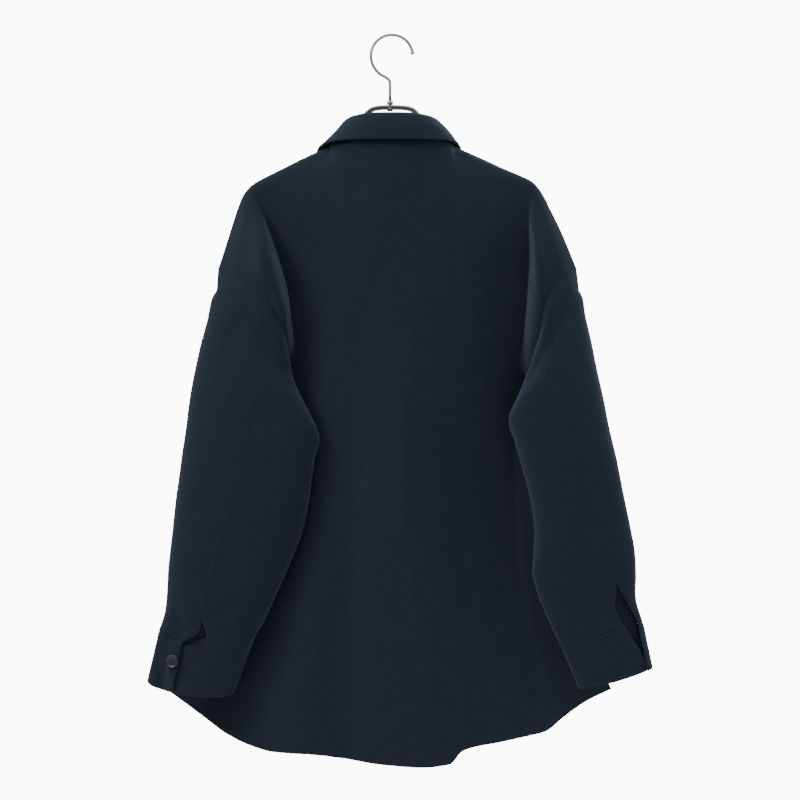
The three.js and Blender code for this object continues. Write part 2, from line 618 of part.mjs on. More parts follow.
// A point of a sleeve or cuff at an angle from the outer edge round the back. Past a full turn the
// cloth laps over itself, so it is lifted outwards there and pressed inwards where it starts.
function sleevePoint(side, section, degrees) {
  const outer = new THREE.Vector3(side.sign * section.outerOut, section.outerBack, section.outerUp);
  const inner = new THREE.Vector3(side.sign * section.innerOut, section.innerBack, section.innerUp);
  const angle = THREE.MathUtils.degToRad(degrees);
  const across = outer.clone().sub(inner).multiplyScalar(0.5);
  const behindBody = 1 - smooth(Math.cos(angle), -0.4, 0.1);
  const depthFront = THREE.MathUtils.lerp(section.depthFront, section.depthUnder, behindBody);
  const depth = Math.sin(angle) > 0 ? section.depthBack : depthFront;
  const point = inner.clone().add(across);
  point.addScaledVector(across, Math.cos(angle));
  point.y += depth * Math.sin(angle);
  point.z += section.drop * Math.min(0, Math.sin(angle));
  point.z -= (section.sag ?? 0) * Math.max(0, Math.sin(angle));
  const fromPinch = THREE.MathUtils.euclideanModulo(degrees - PINCH.at + 180, 360) - 180;
  point.y -= (section.pinch ?? 0) * Math.exp(-((fromPinch / PINCH.spread) ** 2));
  const outwards = across.clone().normalize().multiplyScalar(Math.cos(angle));
  outwards.y += Math.sin(angle);
  const middleEdge = (section.upperEdge + section.underEdge) / 2;
  const lapped = (degrees - middleEdge) / 180 - 1;
  return point.addScaledVector(outwards.normalize(), section.lift * lapped);
}

// The sleeve's columns run from the under piece's edge on the back seam, round the inner edge and
// the front to the upper piece's edge. The armhole's samples give the first row.
const SEAM_COLUMN = 6;
const SLEEVE_END = SEAM_COLUMN + 2 * ARMHOLE_ROWS;

function armholePoint(side, column) {
  const turn = column % (2 * ARMHOLE_ROWS);
  if (turn <= ARMHOLE_ROWS) return readPoint(side.backArmhole, turn / ARMHOLE_ROWS, side.sign);
  return readPoint(side.frontArmhole, 2 - turn / ARMHOLE_ROWS, side.sign);
}

function sleeveAngle(section, column) {
  const { mapLinear } = THREE.MathUtils;
  if (column <= ARMHOLE_ROWS) {
    return mapLinear(column, SEAM_COLUMN, ARMHOLE_ROWS, section.underEdge, section.underarm);
  }
  return mapLinear(column, ARMHOLE_ROWS, SLEEVE_END, section.underarm, section.upperEdge + 360);
}

// Just past the armhole seam the sleeve's cloth rolls outwards before it falls.
function headPoint(side, column) {
  const turn = (2 * Math.PI * column) / (2 * ARMHOLE_ROWS);
  const point = armholePoint(side, column);
  const below = sleevePoint(side, side.sleeve[0], sleeveAngle(side.sleeve[0], column));
  point.lerp(below, SLEEVE_HEAD.share);
  point.y += SLEEVE_HEAD.roll * Math.sin(turn);
  point.z -= SLEEVE_HEAD.sag * Math.sin(turn / 2) ** 4;
  return point;
}

function sleeveGrid(side, firstColumn, lastColumn) {
  const columns = [];
  for (let column = firstColumn; column <= lastColumn; column += 1) columns.push(column);
  const sections = side.sleeve.slice(0, -1);
  return [
    columns.map((column) => armholePoint(side, column)),
    columns.map((column) => headPoint(side, column)),
    ...sections.map((section) => columns.map(
      (column) => sleevePoint(side, section, sleeveAngle(section, column)),
    )),
  ];
}

function cuffSection(side, share) {
  const [top, bottom] = side.sleeve.slice(-2);
  const mixed = {};
  for (const key of Object.keys(top)) mixed[key] = THREE.MathUtils.lerp(top[key], bottom[key], share);
  return mixed;
}

function cuffGrid(side) {
  const grid = [];
  for (let row = 0; row <= CUFF_ROWS; row += 1) {
    const section = cuffSection(side, row / CUFF_ROWS);
    const points = [];
    for (let column = SEAM_COLUMN; column <= SLEEVE_END; column += 1) {
      points.push(sleevePoint(side, section, sleeveAngle(section, column)));
    }
    grid.push(points);
  }
  return grid;
}

// Collar

function collarPlaces(end) {
  const places = [];
  for (let i = 0; i <= NECK_BACK_COLUMNS; i += 1) places.push(i / NECK_BACK_COLUMNS);
  for (let i = 1; i <= NECK_FRONT_COLUMNS; i += 1) places.push(1 + i / NECK_FRONT_COLUMNS);
  if (end > 2) places.push(end);
  const right = [...places].reverse().map((at) => ({ side: RIGHT, at }));
  const left = places.slice(1).map((at) => ({ side: LEFT, at }));
  return [...right, ...left];
}

function standGrid() {
  const grid = [];
  for (const share of [1, 0.5, 0]) {
    grid.push(collarPlaces(2.25).map(({ side, at }) => {
      const seam = neckPoint(NECK_SEAM, side, at);
      return seam.lerp(neckPoint(COLLAR_FOLD, side, at), share);
    }));
  }
  return grid;
}

function fallGrid() {
  const rows = [...COLLAR_ROLL, ...COLLAR_FALL];
  return rows.map((row) => collarPlaces(2).map(({ side, at }) => {
    const fold = neckPoint(COLLAR_FOLD, side, at);
    const along = fold.clone().sub(neckPoint(NECK_SEAM, side, at)).normalize();
    const ahead = neckPoint(COLLAR_FOLD, side, Math.min(2, at + 0.02));
    const behind = neckPoint(COLLAR_FOLD, side, Math.max(0, at - 0.02));
    const outwards = ahead.sub(behind).cross(UP).setZ(0).normalize();
    if (outwards.dot(new THREE.Vector3(fold.x, fold.y + 10, 0)) < 0) outwards.negate();
    if (at === 0) outwards.set(0, 1, 0);
    const place = (step) => fold.clone().addScaledVector(along, step.along)
      .addScaledVector(outwards, step.out).addScaledVector(UP, step.up);
    if (row.share === undefined) return place(row);
    const rolled = place(COLLAR_ROLL[COLLAR_ROLL.length - 1]);
    const edge = readPoint(COLLAR_EDGE, at, side.sign);
    edge.x *= side.collarLie.edge;
    edge.z -= side.collarLie.drop * Math.exp(-(((at - 1) / 0.3) ** 2));
    const bow = row.bow * THREE.MathUtils.lerp(1, side.collarLie.bow, smooth(at, 0.3, 1));
    return rolled.lerp(edge, row.share).addScaledVector(outwards, bow);
  }));
}

// Cloth walls

const keyOf = (point) => [point.x, point.y, point.z].map((value) => Math.round(value * 100)).join(' ');

function gridNormals(grid, turned) {
  const rows = grid.length - 1;
  const columns = grid[0].length - 1;
  return grid.map((line, i) => line.map((point, j) => {
    const down = grid[Math.min(i + 1, rows)][j].clone().sub(grid[Math.max(i - 1, 0)][j]);
    const across = grid[i][Math.min(j + 1, columns)].clone().sub(grid[i][Math.max(j - 1, 0)]);
    return across.cross(down).multiplyScalar(turned ? 1 : -1).normalize();
  }));
}

// Where pieces meet, they share one direction for their wall, so that their edges lie face to face.
function shareNormals(pieces) {
  const meeting = new Map();
  for (const piece of pieces) {
    piece.normals = gridNormals(piece.grid, piece.turned);
    piece.grid.forEach((line, i) => line.forEach((point, j) => {
      const sum = meeting.get(keyOf(point)) ?? new THREE.Vector3();
      meeting.set(keyOf(point), sum.addScaledVector(piece.normals[i][j], piece.inside ? -1 : 1));
    }));
  }
  for (const piece of pieces) {
    piece.normals = piece.grid.map((line, i) => line.map((point, j) => {
      const shared = meeting.get(keyOf(point)).clone();
      if (shared.length() < 0.02) return piece.normals[i][j];
      return shared.normalize().multiplyScalar(piece.inside ? -1 : 1);
    }));
  }
}

// Draws a seamed edge back by half the seam's gap, square to the seam and to the cloth's direction.
// Corners, where several pieces meet, are drawn back further.
function drawBack(piece) {
  const { grid, normals, seams } = piece;
  const lastRow = grid.length - 1;
  const lastColumn = grid[0].length - 1;
  const move = (i, j, iNext, jNext, iAlong, jAlong) => {
    const point = piece.grid[i][j];
    const ahead = grid[Math.min(i + iAlong, lastRow)][Math.min(j + jAlong, lastColumn)];
    const behind = grid[Math.max(i - iAlong, 0)][Math.max(j - jAlong, 0)];
    const along = ahead.clone().sub(behind).normalize();
    const inwards = grid[iNext][jNext].clone().sub(point);
    inwards.addScaledVector(normals[i][j], -inwards.dot(normals[i][j]));
    inwards.addScaledVector(along, -inwards.dot(along));
    const corner = (i === 0 || i === lastRow) && (j === 0 || j === lastColumn);
    return inwards.normalize().multiplyScalar((corner ? CORNER_DRAW : 1) * SEAM_GAP / 2);
  };
  const moves = [];
  for (let j = 0; j <= lastColumn; j += 1) {
    if (seams.top) moves.push([0, j, move(0, j, 1, j, 0, 1)]);
    if (seams.bottom) moves.push([lastRow, j, move(lastRow, j, lastRow - 1, j, 0, 1)]);
  }
  for (let i = 0; i <= lastRow; i += 1) {
    if (seams.start) moves.push([i, 0, move(i, 0, i, 1, 1, 0)]);
    if (seams.end) moves.push([i, lastColumn, move(i, lastColumn, i, lastColumn - 1, 1, 0)]);
  }
  piece.grid = grid.map((line) => line.map((point) => point.clone()));
  for (const [i, j, shift] of moves) piece.grid[i][j].add(shift);
}

// A closed wall of even thickness on both sides of a grid.
function wallGeometry(piece) {
  const { grid, normals, thickness } = piece;
  const rows = grid.length;
  const columns = grid[0].length;
  const positions = [];
  for (const side of [0.5, -0.5]) {
    grid.forEach((line, i) => line.forEach((point, j) => {
      positions.push(...point.clone().addScaledVector(normals[i][j], side * thickness).toArray());
    }));
  }
  const faces = [];
  const outer = (i, j) => i * columns + j;
  const inner = (i, j) => rows * columns + i * columns + j;
  const quad = (a, b, c, d, firstDiagonal) => {
    if (firstDiagonal) faces.push(a, b, c, a, c, d);
    else faces.push(a, b, d, b, c, d);
  };
  for (let i = 0; i + 1 < rows; i += 1) {
    for (let j = 0; j + 1 < columns; j += 1) {
      const straight = grid[i][j].distanceTo(grid[i + 1][j + 1]);
      const firstDiagonal = straight <= grid[i + 1][j].distanceTo(grid[i][j + 1]);
      quad(outer(i, j), outer(i + 1, j), outer(i + 1, j + 1), outer(i, j + 1), firstDiagonal);
      quad(inner(i, j), inner(i, j + 1), inner(i + 1, j + 1), inner(i + 1, j), firstDiagonal);
    }
  }
  const rim = [];
  for (let j = 0; j + 1 < columns; j += 1) rim.push([0, j]);
  for (let i = 0; i + 1 < rows; i += 1) rim.push([i, columns - 1]);
  for (let j = columns - 1; j > 0; j -= 1) rim.push([rows - 1, j]);
  for (let i = rows - 1; i > 0; i -= 1) rim.push([i, 0]);
  const at = (index) => new THREE.Vector3().fromArray(positions, 3 * index);
  rim.forEach(([i, j], k) => {
    const [iNext, jNext] = rim[(k + 1) % rim.length];
    const corners = [outer(i, j), outer(iNext, jNext), inner(iNext, jNext), inner(i, j)];
    const [a, b, c, d] = corners.map(at);
    quad(...corners, a.distanceTo(c) <= b.distanceTo(d));
  });
  if (piece.turned) faces.reverse();
  const geometry = new THREE.BufferGeometry();
  geometry.setAttribute('position', new THREE.Float32BufferAttribute(positions, 3));
  geometry.setIndex(faces);
  return geometry;
}

const wool = () => new THREE.MeshStandardMaterial({ color: CLOTH_COLOUR, roughness: 0.95, metalness: 0 });

// Hard pieces

// Carries a closed section, given as sideways and upwards steps, along a path in the hanger's plane.
function sweepGeometry(section, path) {
  const positions = [];
  path.forEach((point, k) => {
    const ahead = path[Math.min(k + 1, path.length - 1)];
    const along = ahead.clone().sub(path[Math.max(k - 1, 0)]).normalize();
    const raise = new THREE.Vector3(0, 1, 0).cross(along).negate();
    for (const step of section) {
      positions.push(...point.clone().addScaledVector(raise, step.y).add(new THREE.Vector3(0, step.x, 0)));
    }
  });
  const count = section.length;
  const faces = [];
  for (let k = 0; k + 1 < path.length; k += 1) {
    for (let i = 0; i < count; i += 1) {
      const here = k * count;
      const next = (i + 1) % count;
      faces.push(here + i, here + next, here + count + next);
      faces.push(here + i, here + count + next, here + count + i);
    }
  }
  const lastRing = (path.length - 1) * count;
  for (const [a, b, c] of THREE.ShapeUtils.triangulateShape(section, [])) {
    faces.push(a, c, b);
    faces.push(lastRing + a, lastRing + b, lastRing + c);
  }
  const geometry = new THREE.BufferGeometry();
  geometry.setAttribute('position', new THREE.Float32BufferAttribute(positions, 3));
  geometry.setIndex(faces);
  return geometry;
}

function toSolid(geometry) {
  const bare = geometry.clone();
  bare.deleteAttribute('normal');
  bare.deleteAttribute('uv');
  const merged = mergeVertices(bare, 1e-4);
  return new wasm.Manifold(new wasm.Mesh({
    numProp: 3,
    vertProperties: new Float32Array(merged.attributes.position.array),
    triVerts: new Uint32Array(merged.index.array),
  }));
}

function fromSolid(solid) {
  const mesh = solid.getMesh();
  const geometry = new THREE.BufferGeometry();
  geometry.setAttribute('position', new THREE.BufferAttribute(mesh.vertProperties, 3));
  geometry.setIndex(new THREE.BufferAttribute(mesh.triVerts, 1));
  return geometry;
}

// The top of the bar follows an arch under the hook, two steep shoulders and then the jacket's own
// shoulder lines.
const BAR_ARCH = [
  { at: 0, up: -92.3 },
  { at: 13, up: -92.6 },
  { at: 21.5, up: -93.6 },
  { at: 29, up: -96 },
  { at: 34.5, up: -99.8 },
  { at: 39, up: -105 },
  { at: 44, up: -112 },
  { at: 66, up: -136 },
  { at: 92, up: -163 },
];
const BAR_STEPS = { arch: 20, arm: 7, joins: 108 };

function barPath() {
  const half = (side) => {
    const points = [];
    for (let i = 0; i <= BAR_STEPS.arch; i += 1) {
      const out = (92 * i) / BAR_STEPS.arch;
      points.push(new THREE.Vector3(side.sign * out, 0, readColumn(BAR_ARCH, 'up', out)));
    }
    for (let i = 0; i <= BAR_STEPS.arm; i += 1) {
      const out = THREE.MathUtils.lerp(BAR_STEPS.joins, HANGER.tip, i / BAR_STEPS.arm);
      const line = side.shoulder.map((row) => ({ at: row.out, up: row.up }));
      points.push(new THREE.Vector3(side.sign * out, 0, readColumn(line, 'up', out) - HANGER.under));
    }
    return points;
  };
  return [...half(RIGHT).reverse(), ...half(LEFT).slice(1)];
}

function barGeometry() {
  const half = [
    [0, 0],
    [HANGER.ridge, -1.8],
    [HANGER.flange, -3],
    [HANGER.flange, -3.4],
    [HANGER.web, -3.7],
    [HANGER.web, -5.2],
    [HANGER.flange, -5.5],
    [HANGER.flange, -HANGER.depth],
  ];
  const section = [
    ...half.map(([x, y]) => new THREE.Vector2(x, y)),
    ...half.slice(1).reverse().map(([x, y]) => new THREE.Vector2(-x, y)),
  ].reverse();
  const boss = new THREE.CylinderGeometry(BOSS.radius, BOSS.radius, BOSS.length, 16);
  boss.rotateX(Math.PI / 2).translate(HOOK.stem, 0, BOSS.up);
  return fromSolid(toSolid(sweepGeometry(section, barPath())).add(toSolid(boss)));
}

// The hook's wire: a large open curve over the rail, a tight bend, then a straight stem to the nut
function hookGeometry() {
  const centre = new THREE.Vector3(0, 0, -HOOK.seatRadius);
  const radius = HOOK.seatRadius + HOOK.wire;
  const path = [];
  for (let degrees = 172; degrees >= -66; degrees -= 14) {
    const angle = THREE.MathUtils.degToRad(degrees);
    const grown = radius * (1 + 0.05 * smooth(-degrees, 0, 60));
    path.push(centre.clone().add(new THREE.Vector3(grown * Math.cos(angle), 0, grown * Math.sin(angle))));
  }
  path.push(new THREE.Vector3(5.6, 0, -57));
  path.push(new THREE.Vector3(HOOK.stem + 0.4, 0, -59.6));
  path.push(new THREE.Vector3(HOOK.stem, 0, -63));
  path.push(new THREE.Vector3(HOOK.stem, 0, NUT.top + SEAM_GAP));
  const section = [];
  for (let i = 0; i < HOOK.sides; i += 1) {
    const angle = (2 * Math.PI * i) / HOOK.sides;
    section.push(new THREE.Vector2(HOOK.wire * Math.cos(angle), HOOK.wire * Math.sin(angle)));
  }
  const ball = new THREE.SphereGeometry(HOOK.tipBall, 10, 6).translate(path[0].x, 0, path[0].z);
  return fromSolid(toSolid(sweepGeometry(section, path)).add(toSolid(ball)));
}

function nutGeometry() {
  const height = NUT.top - NUT.bottom;
  const nut = new THREE.CylinderGeometry(NUT.radius, NUT.radius, height, 12);
  return nut.rotateX(Math.PI / 2).translate(HOOK.stem, 0, (NUT.top + NUT.bottom) / 2);
}

// A sewn-through button, turned with a dished middle; its back lies just off the cloth.
function buttonMesh(name, seat, normal) {
  const { radius, thickness, rim, dish, sides, stand } = BUTTON;
  const profile = [
    [0, 0],
    [radius - 0.8, 0],
    [radius, 1],
    [radius - 0.5, thickness],
    [radius - rim, thickness],
    [radius - rim - 1, thickness - dish],
    [0, thickness - dish],
  ].map(([x, y]) => new THREE.Vector2(x, y));
  const geometry = new THREE.LatheGeometry(profile, sides).rotateX(Math.PI / 2);
  geometry.translate(0, 0, stand);
  const mesh = named(name, geometry, new THREE.MeshStandardMaterial({ color: 0x17181b, roughness: 0.35 }));
  mesh.position.copy(seat);
  mesh.quaternion.setFromUnitVectors(UP, normal);
  return mesh;
}

function named(name, geometry, material) {
  const mesh = new THREE.Mesh(geometry, material);
  mesh.name = name;
  return mesh;
}

// A button rests on the highest point of the outer face of the cloth under it.
function seatOn(piece, rowAt, columnAt) {
  const { grid, normals, thickness } = piece;
  const read = (table, down, along) => {
    const row = Math.floor(THREE.MathUtils.clamp(down, 0, grid.length - 1.001));
    const column = Math.floor(THREE.MathUtils.clamp(along, 0, grid[0].length - 1.001));
    const line = (i) => table[i][column].clone().lerp(table[i][column + 1], along - column);
    return line(row).lerp(line(row + 1), down - row);
  };
  const normal = read(normals, rowAt, columnAt).normalize();
  const seat = read(grid, rowAt, columnAt);
  let highest = thickness / 2;
  for (let down = Math.max(0, rowAt - 1); down <= Math.min(grid.length - 1, rowAt + 1); down += SEAT_STEP) {
    const last = Math.min(grid[0].length - 1, columnAt + 1);
    for (let along = Math.max(0, columnAt - 1); along <= last; along += SEAT_STEP) {
      const face = read(grid, down, along);
      face.addScaledVector(read(normals, down, along).normalize(), thickness / 2).sub(seat);
      const height = face.dot(normal);
      const fromAxis = face.addScaledVector(normal, -height).length();
      if (fromAxis < BUTTON.radius) highest = Math.max(highest, height);
    }
  }
  return { seat: seat.addScaledVector(normal, highest), normal };
}

// The jacket

const pieces = [
  { name: 'back_panel', grid: backGrid(), thickness: CLOTH, turned: true,
    seams: { top: true, start: true, end: true } },
  { name: 'front_left', grid: frontGrid(LEFT), thickness: CLOTH, turned: true,
    seams: { top: true, start: true } },
  { name: 'front_right', grid: frontGrid(RIGHT), thickness: CLOTH, turned: false,
    seams: { top: true, start: true } },
  { name: 'collar_stand', grid: standGrid(), thickness: COLLAR_CLOTH, turned: true,
    seams: { top: true, bottom: true } },
  { name: 'collar_fall', grid: fallGrid(), thickness: COLLAR_CLOTH, turned: true, inside: true,
    seams: { top: true } },
];
for (const side of SIDES) {
  const turned = side === RIGHT;
  const seams = { top: true, bottom: true, start: true, end: true };
  const under = sleeveGrid(side, SEAM_COLUMN, ARMHOLE_ROWS);
  const upper = sleeveGrid(side, ARMHOLE_ROWS, SLEEVE_END);
  pieces.push(
    { name: `sleeve_under_${side.name}`, grid: under, thickness: CLOTH, turned, seams },
    { name: `sleeve_upper_${side.name}`, grid: upper, thickness: CLOTH, turned, seams },
    { name: `cuff_${side.name}`, grid: cuffGrid(side), thickness: CLOTH, turned, seams: { top: true } },
  );
}
shareNormals(pieces);

const group = new THREE.Group();
for (const piece of pieces) {
  drawBack(piece);
  group.add(named(piece.name, wallGeometry(piece), wool()));
}

const pieceOf = (name) => pieces.find((piece) => piece.name === name);
const frontMiddle = SHOULDER_COLUMNS + DROP_SHARES.length + NECK_FRONT_COLUMNS;
const middleHeights = pieceOf('front_left').grid.map((row) => row[frontMiddle].z);
for (let i = 0; i < FRONT_BUTTONS.count; i += 1) {
  const up = THREE.MathUtils.lerp(FRONT_BUTTONS.top, FRONT_BUTTONS.bottom, i / (FRONT_BUTTONS.count - 1));
  const below = middleHeights.findIndex((height) => height < up);
  const rowAt = below - THREE.MathUtils.inverseLerp(middleHeights[below], middleHeights[below - 1], up);
  const { seat, normal } = seatOn(pieceOf('front_left'), rowAt, frontMiddle);
  group.add(buttonMesh(`button_front_${i + 1}`, seat, normal));
}
const standMiddle = 2 * (NECK_BACK_COLUMNS + NECK_FRONT_COLUMNS) + 1;
const standSeat = seatOn(pieceOf('collar_stand'), 0.99, standMiddle);
group.add(buttonMesh('button_collar', standSeat.seat, standSeat.normal));

for (const side of SIDES) {
  const { fromEdge, share } = side.cuffButton;
  const cuff = pieceOf(`cuff_${side.name}`);
  const columnAt = cuff.grid[0].length - 1 - fromEdge;
  const { seat, normal } = seatOn(cuff, CUFF_ROWS * share, columnAt);
  group.add(buttonMesh(`button_cuff_${side.name}`, seat, normal));
}

const hangerPlastic = new THREE.MeshStandardMaterial({ color: HANGER_COLOUR, roughness: 0.4 });
const steel = new THREE.MeshStandardMaterial({ color: 0x8c8c8c, roughness: 0.25, metalness: 1 });
group.add(named('hanger_bar', barGeometry(), hangerPlastic));
group.add(named('hook', hookGeometry(), steel));
group.add(named('hook_nut', nutGeometry(), steel));

export default group;
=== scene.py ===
import math

import bmesh
import bpy
import numpy as np
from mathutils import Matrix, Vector, noise


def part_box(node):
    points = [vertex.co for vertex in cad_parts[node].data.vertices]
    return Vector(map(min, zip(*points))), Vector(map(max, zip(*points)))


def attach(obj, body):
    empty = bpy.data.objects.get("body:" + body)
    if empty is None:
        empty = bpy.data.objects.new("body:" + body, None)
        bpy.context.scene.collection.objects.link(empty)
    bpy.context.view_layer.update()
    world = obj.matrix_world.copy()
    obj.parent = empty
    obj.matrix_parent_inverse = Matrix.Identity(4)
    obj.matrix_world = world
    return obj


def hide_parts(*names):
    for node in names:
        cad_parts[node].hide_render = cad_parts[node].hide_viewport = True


# A long, loose shirt-jacket of brushed wool on a slim clothes hanger, seen from behind. The origin is
# the seat of the hook. Tables are in millimetres, as a pattern cutter would note them; +X is the
# wearer's left, the wearer's front faces -Y and +Z is up.
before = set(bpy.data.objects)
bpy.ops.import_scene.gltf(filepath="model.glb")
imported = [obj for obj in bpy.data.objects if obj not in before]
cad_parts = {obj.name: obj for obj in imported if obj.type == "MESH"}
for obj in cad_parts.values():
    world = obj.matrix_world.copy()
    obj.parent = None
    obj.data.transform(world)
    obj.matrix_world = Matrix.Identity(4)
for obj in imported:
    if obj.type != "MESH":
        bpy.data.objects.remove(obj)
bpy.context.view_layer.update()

# The camera stands level and straight behind the jacket, five metres off with a long lens. Its frame
# is 1080 mm wide at the hanger.
FRAME_WIDTH = 1.08
SENSOR_WIDTH = 36
CAMERA_OUT = -0.0111
CAMERA_DISTANCE = 5.0
CAMERA_UP = -0.4909
lens = bpy.data.cameras.new("long_lens")
lens.sensor_width = SENSOR_WIDTH
lens.lens = SENSOR_WIDTH * CAMERA_DISTANCE / FRAME_WIDTH
camera = bpy.data.objects.new("camera", lens)
camera.location = (CAMERA_OUT, CAMERA_DISTANCE, CAMERA_UP)
camera.rotation_euler = (math.pi / 2, 0, math.pi)
bpy.context.scene.collection.objects.link(camera)
bpy.context.scene.camera = camera


# The hook is one length of plated spring wire, 4 mm thick: a large open curve that ends in a small
# ball, a tight bend, and a straight stem screwed into the hanger through a small nut.
WIRE = 2.1
SEAT_RADIUS = 26.1
# The curve runs from its ball at 172 degrees over the top and opens by a twentieth towards the bend.
CURVE_DEGREES = range(172, -67, -7)
CURVE_OPENS = 0.05
BALL_RADIUS = 2.9
STEM = 2.4
# The bend between curve and stem: out, up.
BEND = [(8.2, -55.2), (5.6, -57.2), (STEM + 0.5, -60), (STEM, -64)]
NUT_RADIUS = 4.3
NUT_TOP = -87.2
NUT_BOTTOM = -92.2


def to_linear(hex_colour):
    # An sRGB colour such as "#6f6e69" as the linear RGBA that shaders take.
    channels = [int(hex_colour[i:i + 2], 16) / 255 for i in (1, 3, 5)]
    linear = [c / 12.92 if c <= 0.04045 else ((c + 0.055) / 1.055) ** 2.4 for c in channels]
    return (*linear, 1.0)


def add(tree, kind, inputs=None, **settings):
    # Adds a node; each input is given a value or is linked to another node's output.
    node = tree.nodes.new(kind)
    for key, value in settings.items():
        setattr(node, key, value)
    for key, value in (inputs or {}).items():
        if isinstance(value, bpy.types.NodeSocket):
            tree.links.new(value, node.inputs[key])
        else:
            node.inputs[key].default_value = value
    return node


def new_material(name):
    made = bpy.data.materials.new(name)
    made.use_nodes = True
    made.node_tree.nodes.clear()
    return made, made.node_tree


def grain(tree, scale, **more):
    # Noise of so many grains a metre, in the object's own space.
    place = add(tree, "ShaderNodeTexCoord").outputs["Object"]
    return add(tree, "ShaderNodeTexNoise", {"Vector": place, "Scale": scale, **more}).outputs[0]


def between(tree, value, low, high, first=0.0, last=1.0):
    # A value between low and high, as the given one runs from first to last.
    return add(tree, "ShaderNodeMapRange", {"Value": value, "From Min": first, "From Max": last,
                                            "To Min": low, "To Max": high}).outputs[0]


def blend(tree, share, first, second):
    # A colour between two, each an sRGB colour or another node's output.
    first, second = [to_linear(end) if isinstance(end, str) else end for end in (first, second)]
    return add(tree, "ShaderNodeMix", {0: share, 6: first, 7: second}, data_type="RGBA").outputs[2]


def finish_material(tree, inputs):
    shader = add(tree, "ShaderNodeBsdfPrincipled", inputs)
    add(tree, "ShaderNodeOutputMaterial", {"Surface": shader.outputs[0]})


def plated_steel():
    # Nickel-plated spring wire, drawn and tumbled: bright, with faint lengthwise haze.
    made, tree = new_material("nickel_plated_wire")
    haze = grain(tree, 900.0, Detail=3.0)
    finish_material(tree, {"Base Color": to_linear("#a9a8a4"), "Metallic": 1.0,
                           "Roughness": between(tree, haze, 0.4, 0.5)})
    return made


steel = plated_steel()


def make_piece(name, points, faces, material, smooth=True):
    # An object from points in millimetres.
    mesh = bpy.data.meshes.new(name)
    mesh.from_pydata([tuple(p) for p in np.asarray(points, float).reshape(-1, 3) / 1000], [], faces)
    mesh.materials.append(material)
    mesh.polygons.foreach_set("use_smooth", [smooth] * len(mesh.polygons))
    mesh.update()
    piece = bpy.data.objects.new(name, mesh)
    bpy.context.scene.collection.objects.link(piece)
    return piece


def dress(piece, slot, *nodes):
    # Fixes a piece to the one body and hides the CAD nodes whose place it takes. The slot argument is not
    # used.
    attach(piece, "root")
    if nodes:
        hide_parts(*nodes)
    return piece


def through(points, steps):
    # A smooth line through points, each stretch cut in equal steps.
    points = np.asarray(points, float)
    padded = np.vstack([2 * points[0] - points[1], points, 2 * points[-1] - points[-2]])
    line = []
    for k in range(1, len(points)):
        a, b, c, d = padded[k - 1:k + 3]
        for f in np.linspace(0, 1, steps, endpoint=False):
            line.append(0.5 * (2 * b + (c - a) * f + (2 * a - 5 * b + 4 * c - d) * f ** 2
                               + (3 * b - 3 * c + d - a) * f ** 3))
    line.append(points[-1])
    return np.array(line)


def sweep(path, section):
    # Carries a closed section, given as sideways (Y) and upwards steps, along a path in the XZ plane.
    path, section = np.asarray(path, float), np.asarray(section, float)
    along = np.gradient(path, axis=0)
    along /= np.linalg.norm(along, axis=1)[:, None]
    rise = np.stack([-along[:, 2], 0 * along[:, 0], along[:, 0]], axis=1)
    points = path[:, None] + rise[:, None] * section[None, :, 1:2]
    points[..., 1] += section[None, :, 0]
    count, last = len(section), (len(path) - 1) * len(section)
    faces = []
    for near in range(0, last, count):
        far = near + count
        faces += [(near + i, far + i, far + (i + 1) % count, near + (i + 1) % count) for i in range(count)]
    faces += [tuple(range(count)), tuple(last + i for i in reversed(range(count)))]
    return points.reshape(-1, 3), faces


def outwards(piece):
    # Turns every face of a closed piece to point out.
    bm = bmesh.new()
    bm.from_mesh(piece.data)
    bmesh.ops.remove_doubles(bm, verts=bm.verts, dist=1e-6)
    bmesh.ops.recalc_face_normals(bm, faces=bm.faces)
    bm.to_mesh(piece.data)
    bm.free()
    return piece


def ring(radius, sides):
    turn = np.linspace(0, 2 * math.pi, sides, endpoint=False)
    return np.stack([radius * np.cos(turn), radius * np.sin(turn)], axis=1)


curve = []
for degrees in CURVE_DEGREES:
    turn = math.radians(degrees)
    grown = (SEAT_RADIUS + WIRE) * (1 + CURVE_OPENS * min(1, max(0, -degrees / 60)) ** 2)
    curve.append((grown * math.cos(turn), 0, grown * math.sin(turn) - SEAT_RADIUS))
curve += [(out, 0, up) for out, up in [*BEND, (STEM, NUT_TOP + 0.3)]]
hook = outwards(make_piece("hook_wire", *sweep(through(curve, 3), ring(WIRE, 20)), steel))
dress(hook, "steel", "hook")


def lathe(name, profile, sides, material):
    # Turns a profile of (radius, height) round Z.
    turn = np.linspace(0, 2 * math.pi, sides, endpoint=False)
    points = [(r * math.cos(t), r * math.sin(t), h) for r, h in profile for t in turn]
    faces, last = [], (len(profile) - 1) * sides
    for low in range(0, last, sides):
        high = low + sides
        faces += [(low + i, low + (i + 1) % sides, high + (i + 1) % sides, high + i) for i in range(sides)]
    faces += [tuple(reversed(range(sides))), tuple(last + i for i in range(sides))]
    return make_piece(name, points, faces, material)


def shift(piece, x, y, z):
    for vertex in piece.data.vertices:
        vertex.co += Vector((x, y, z)) / 1000
    return piece


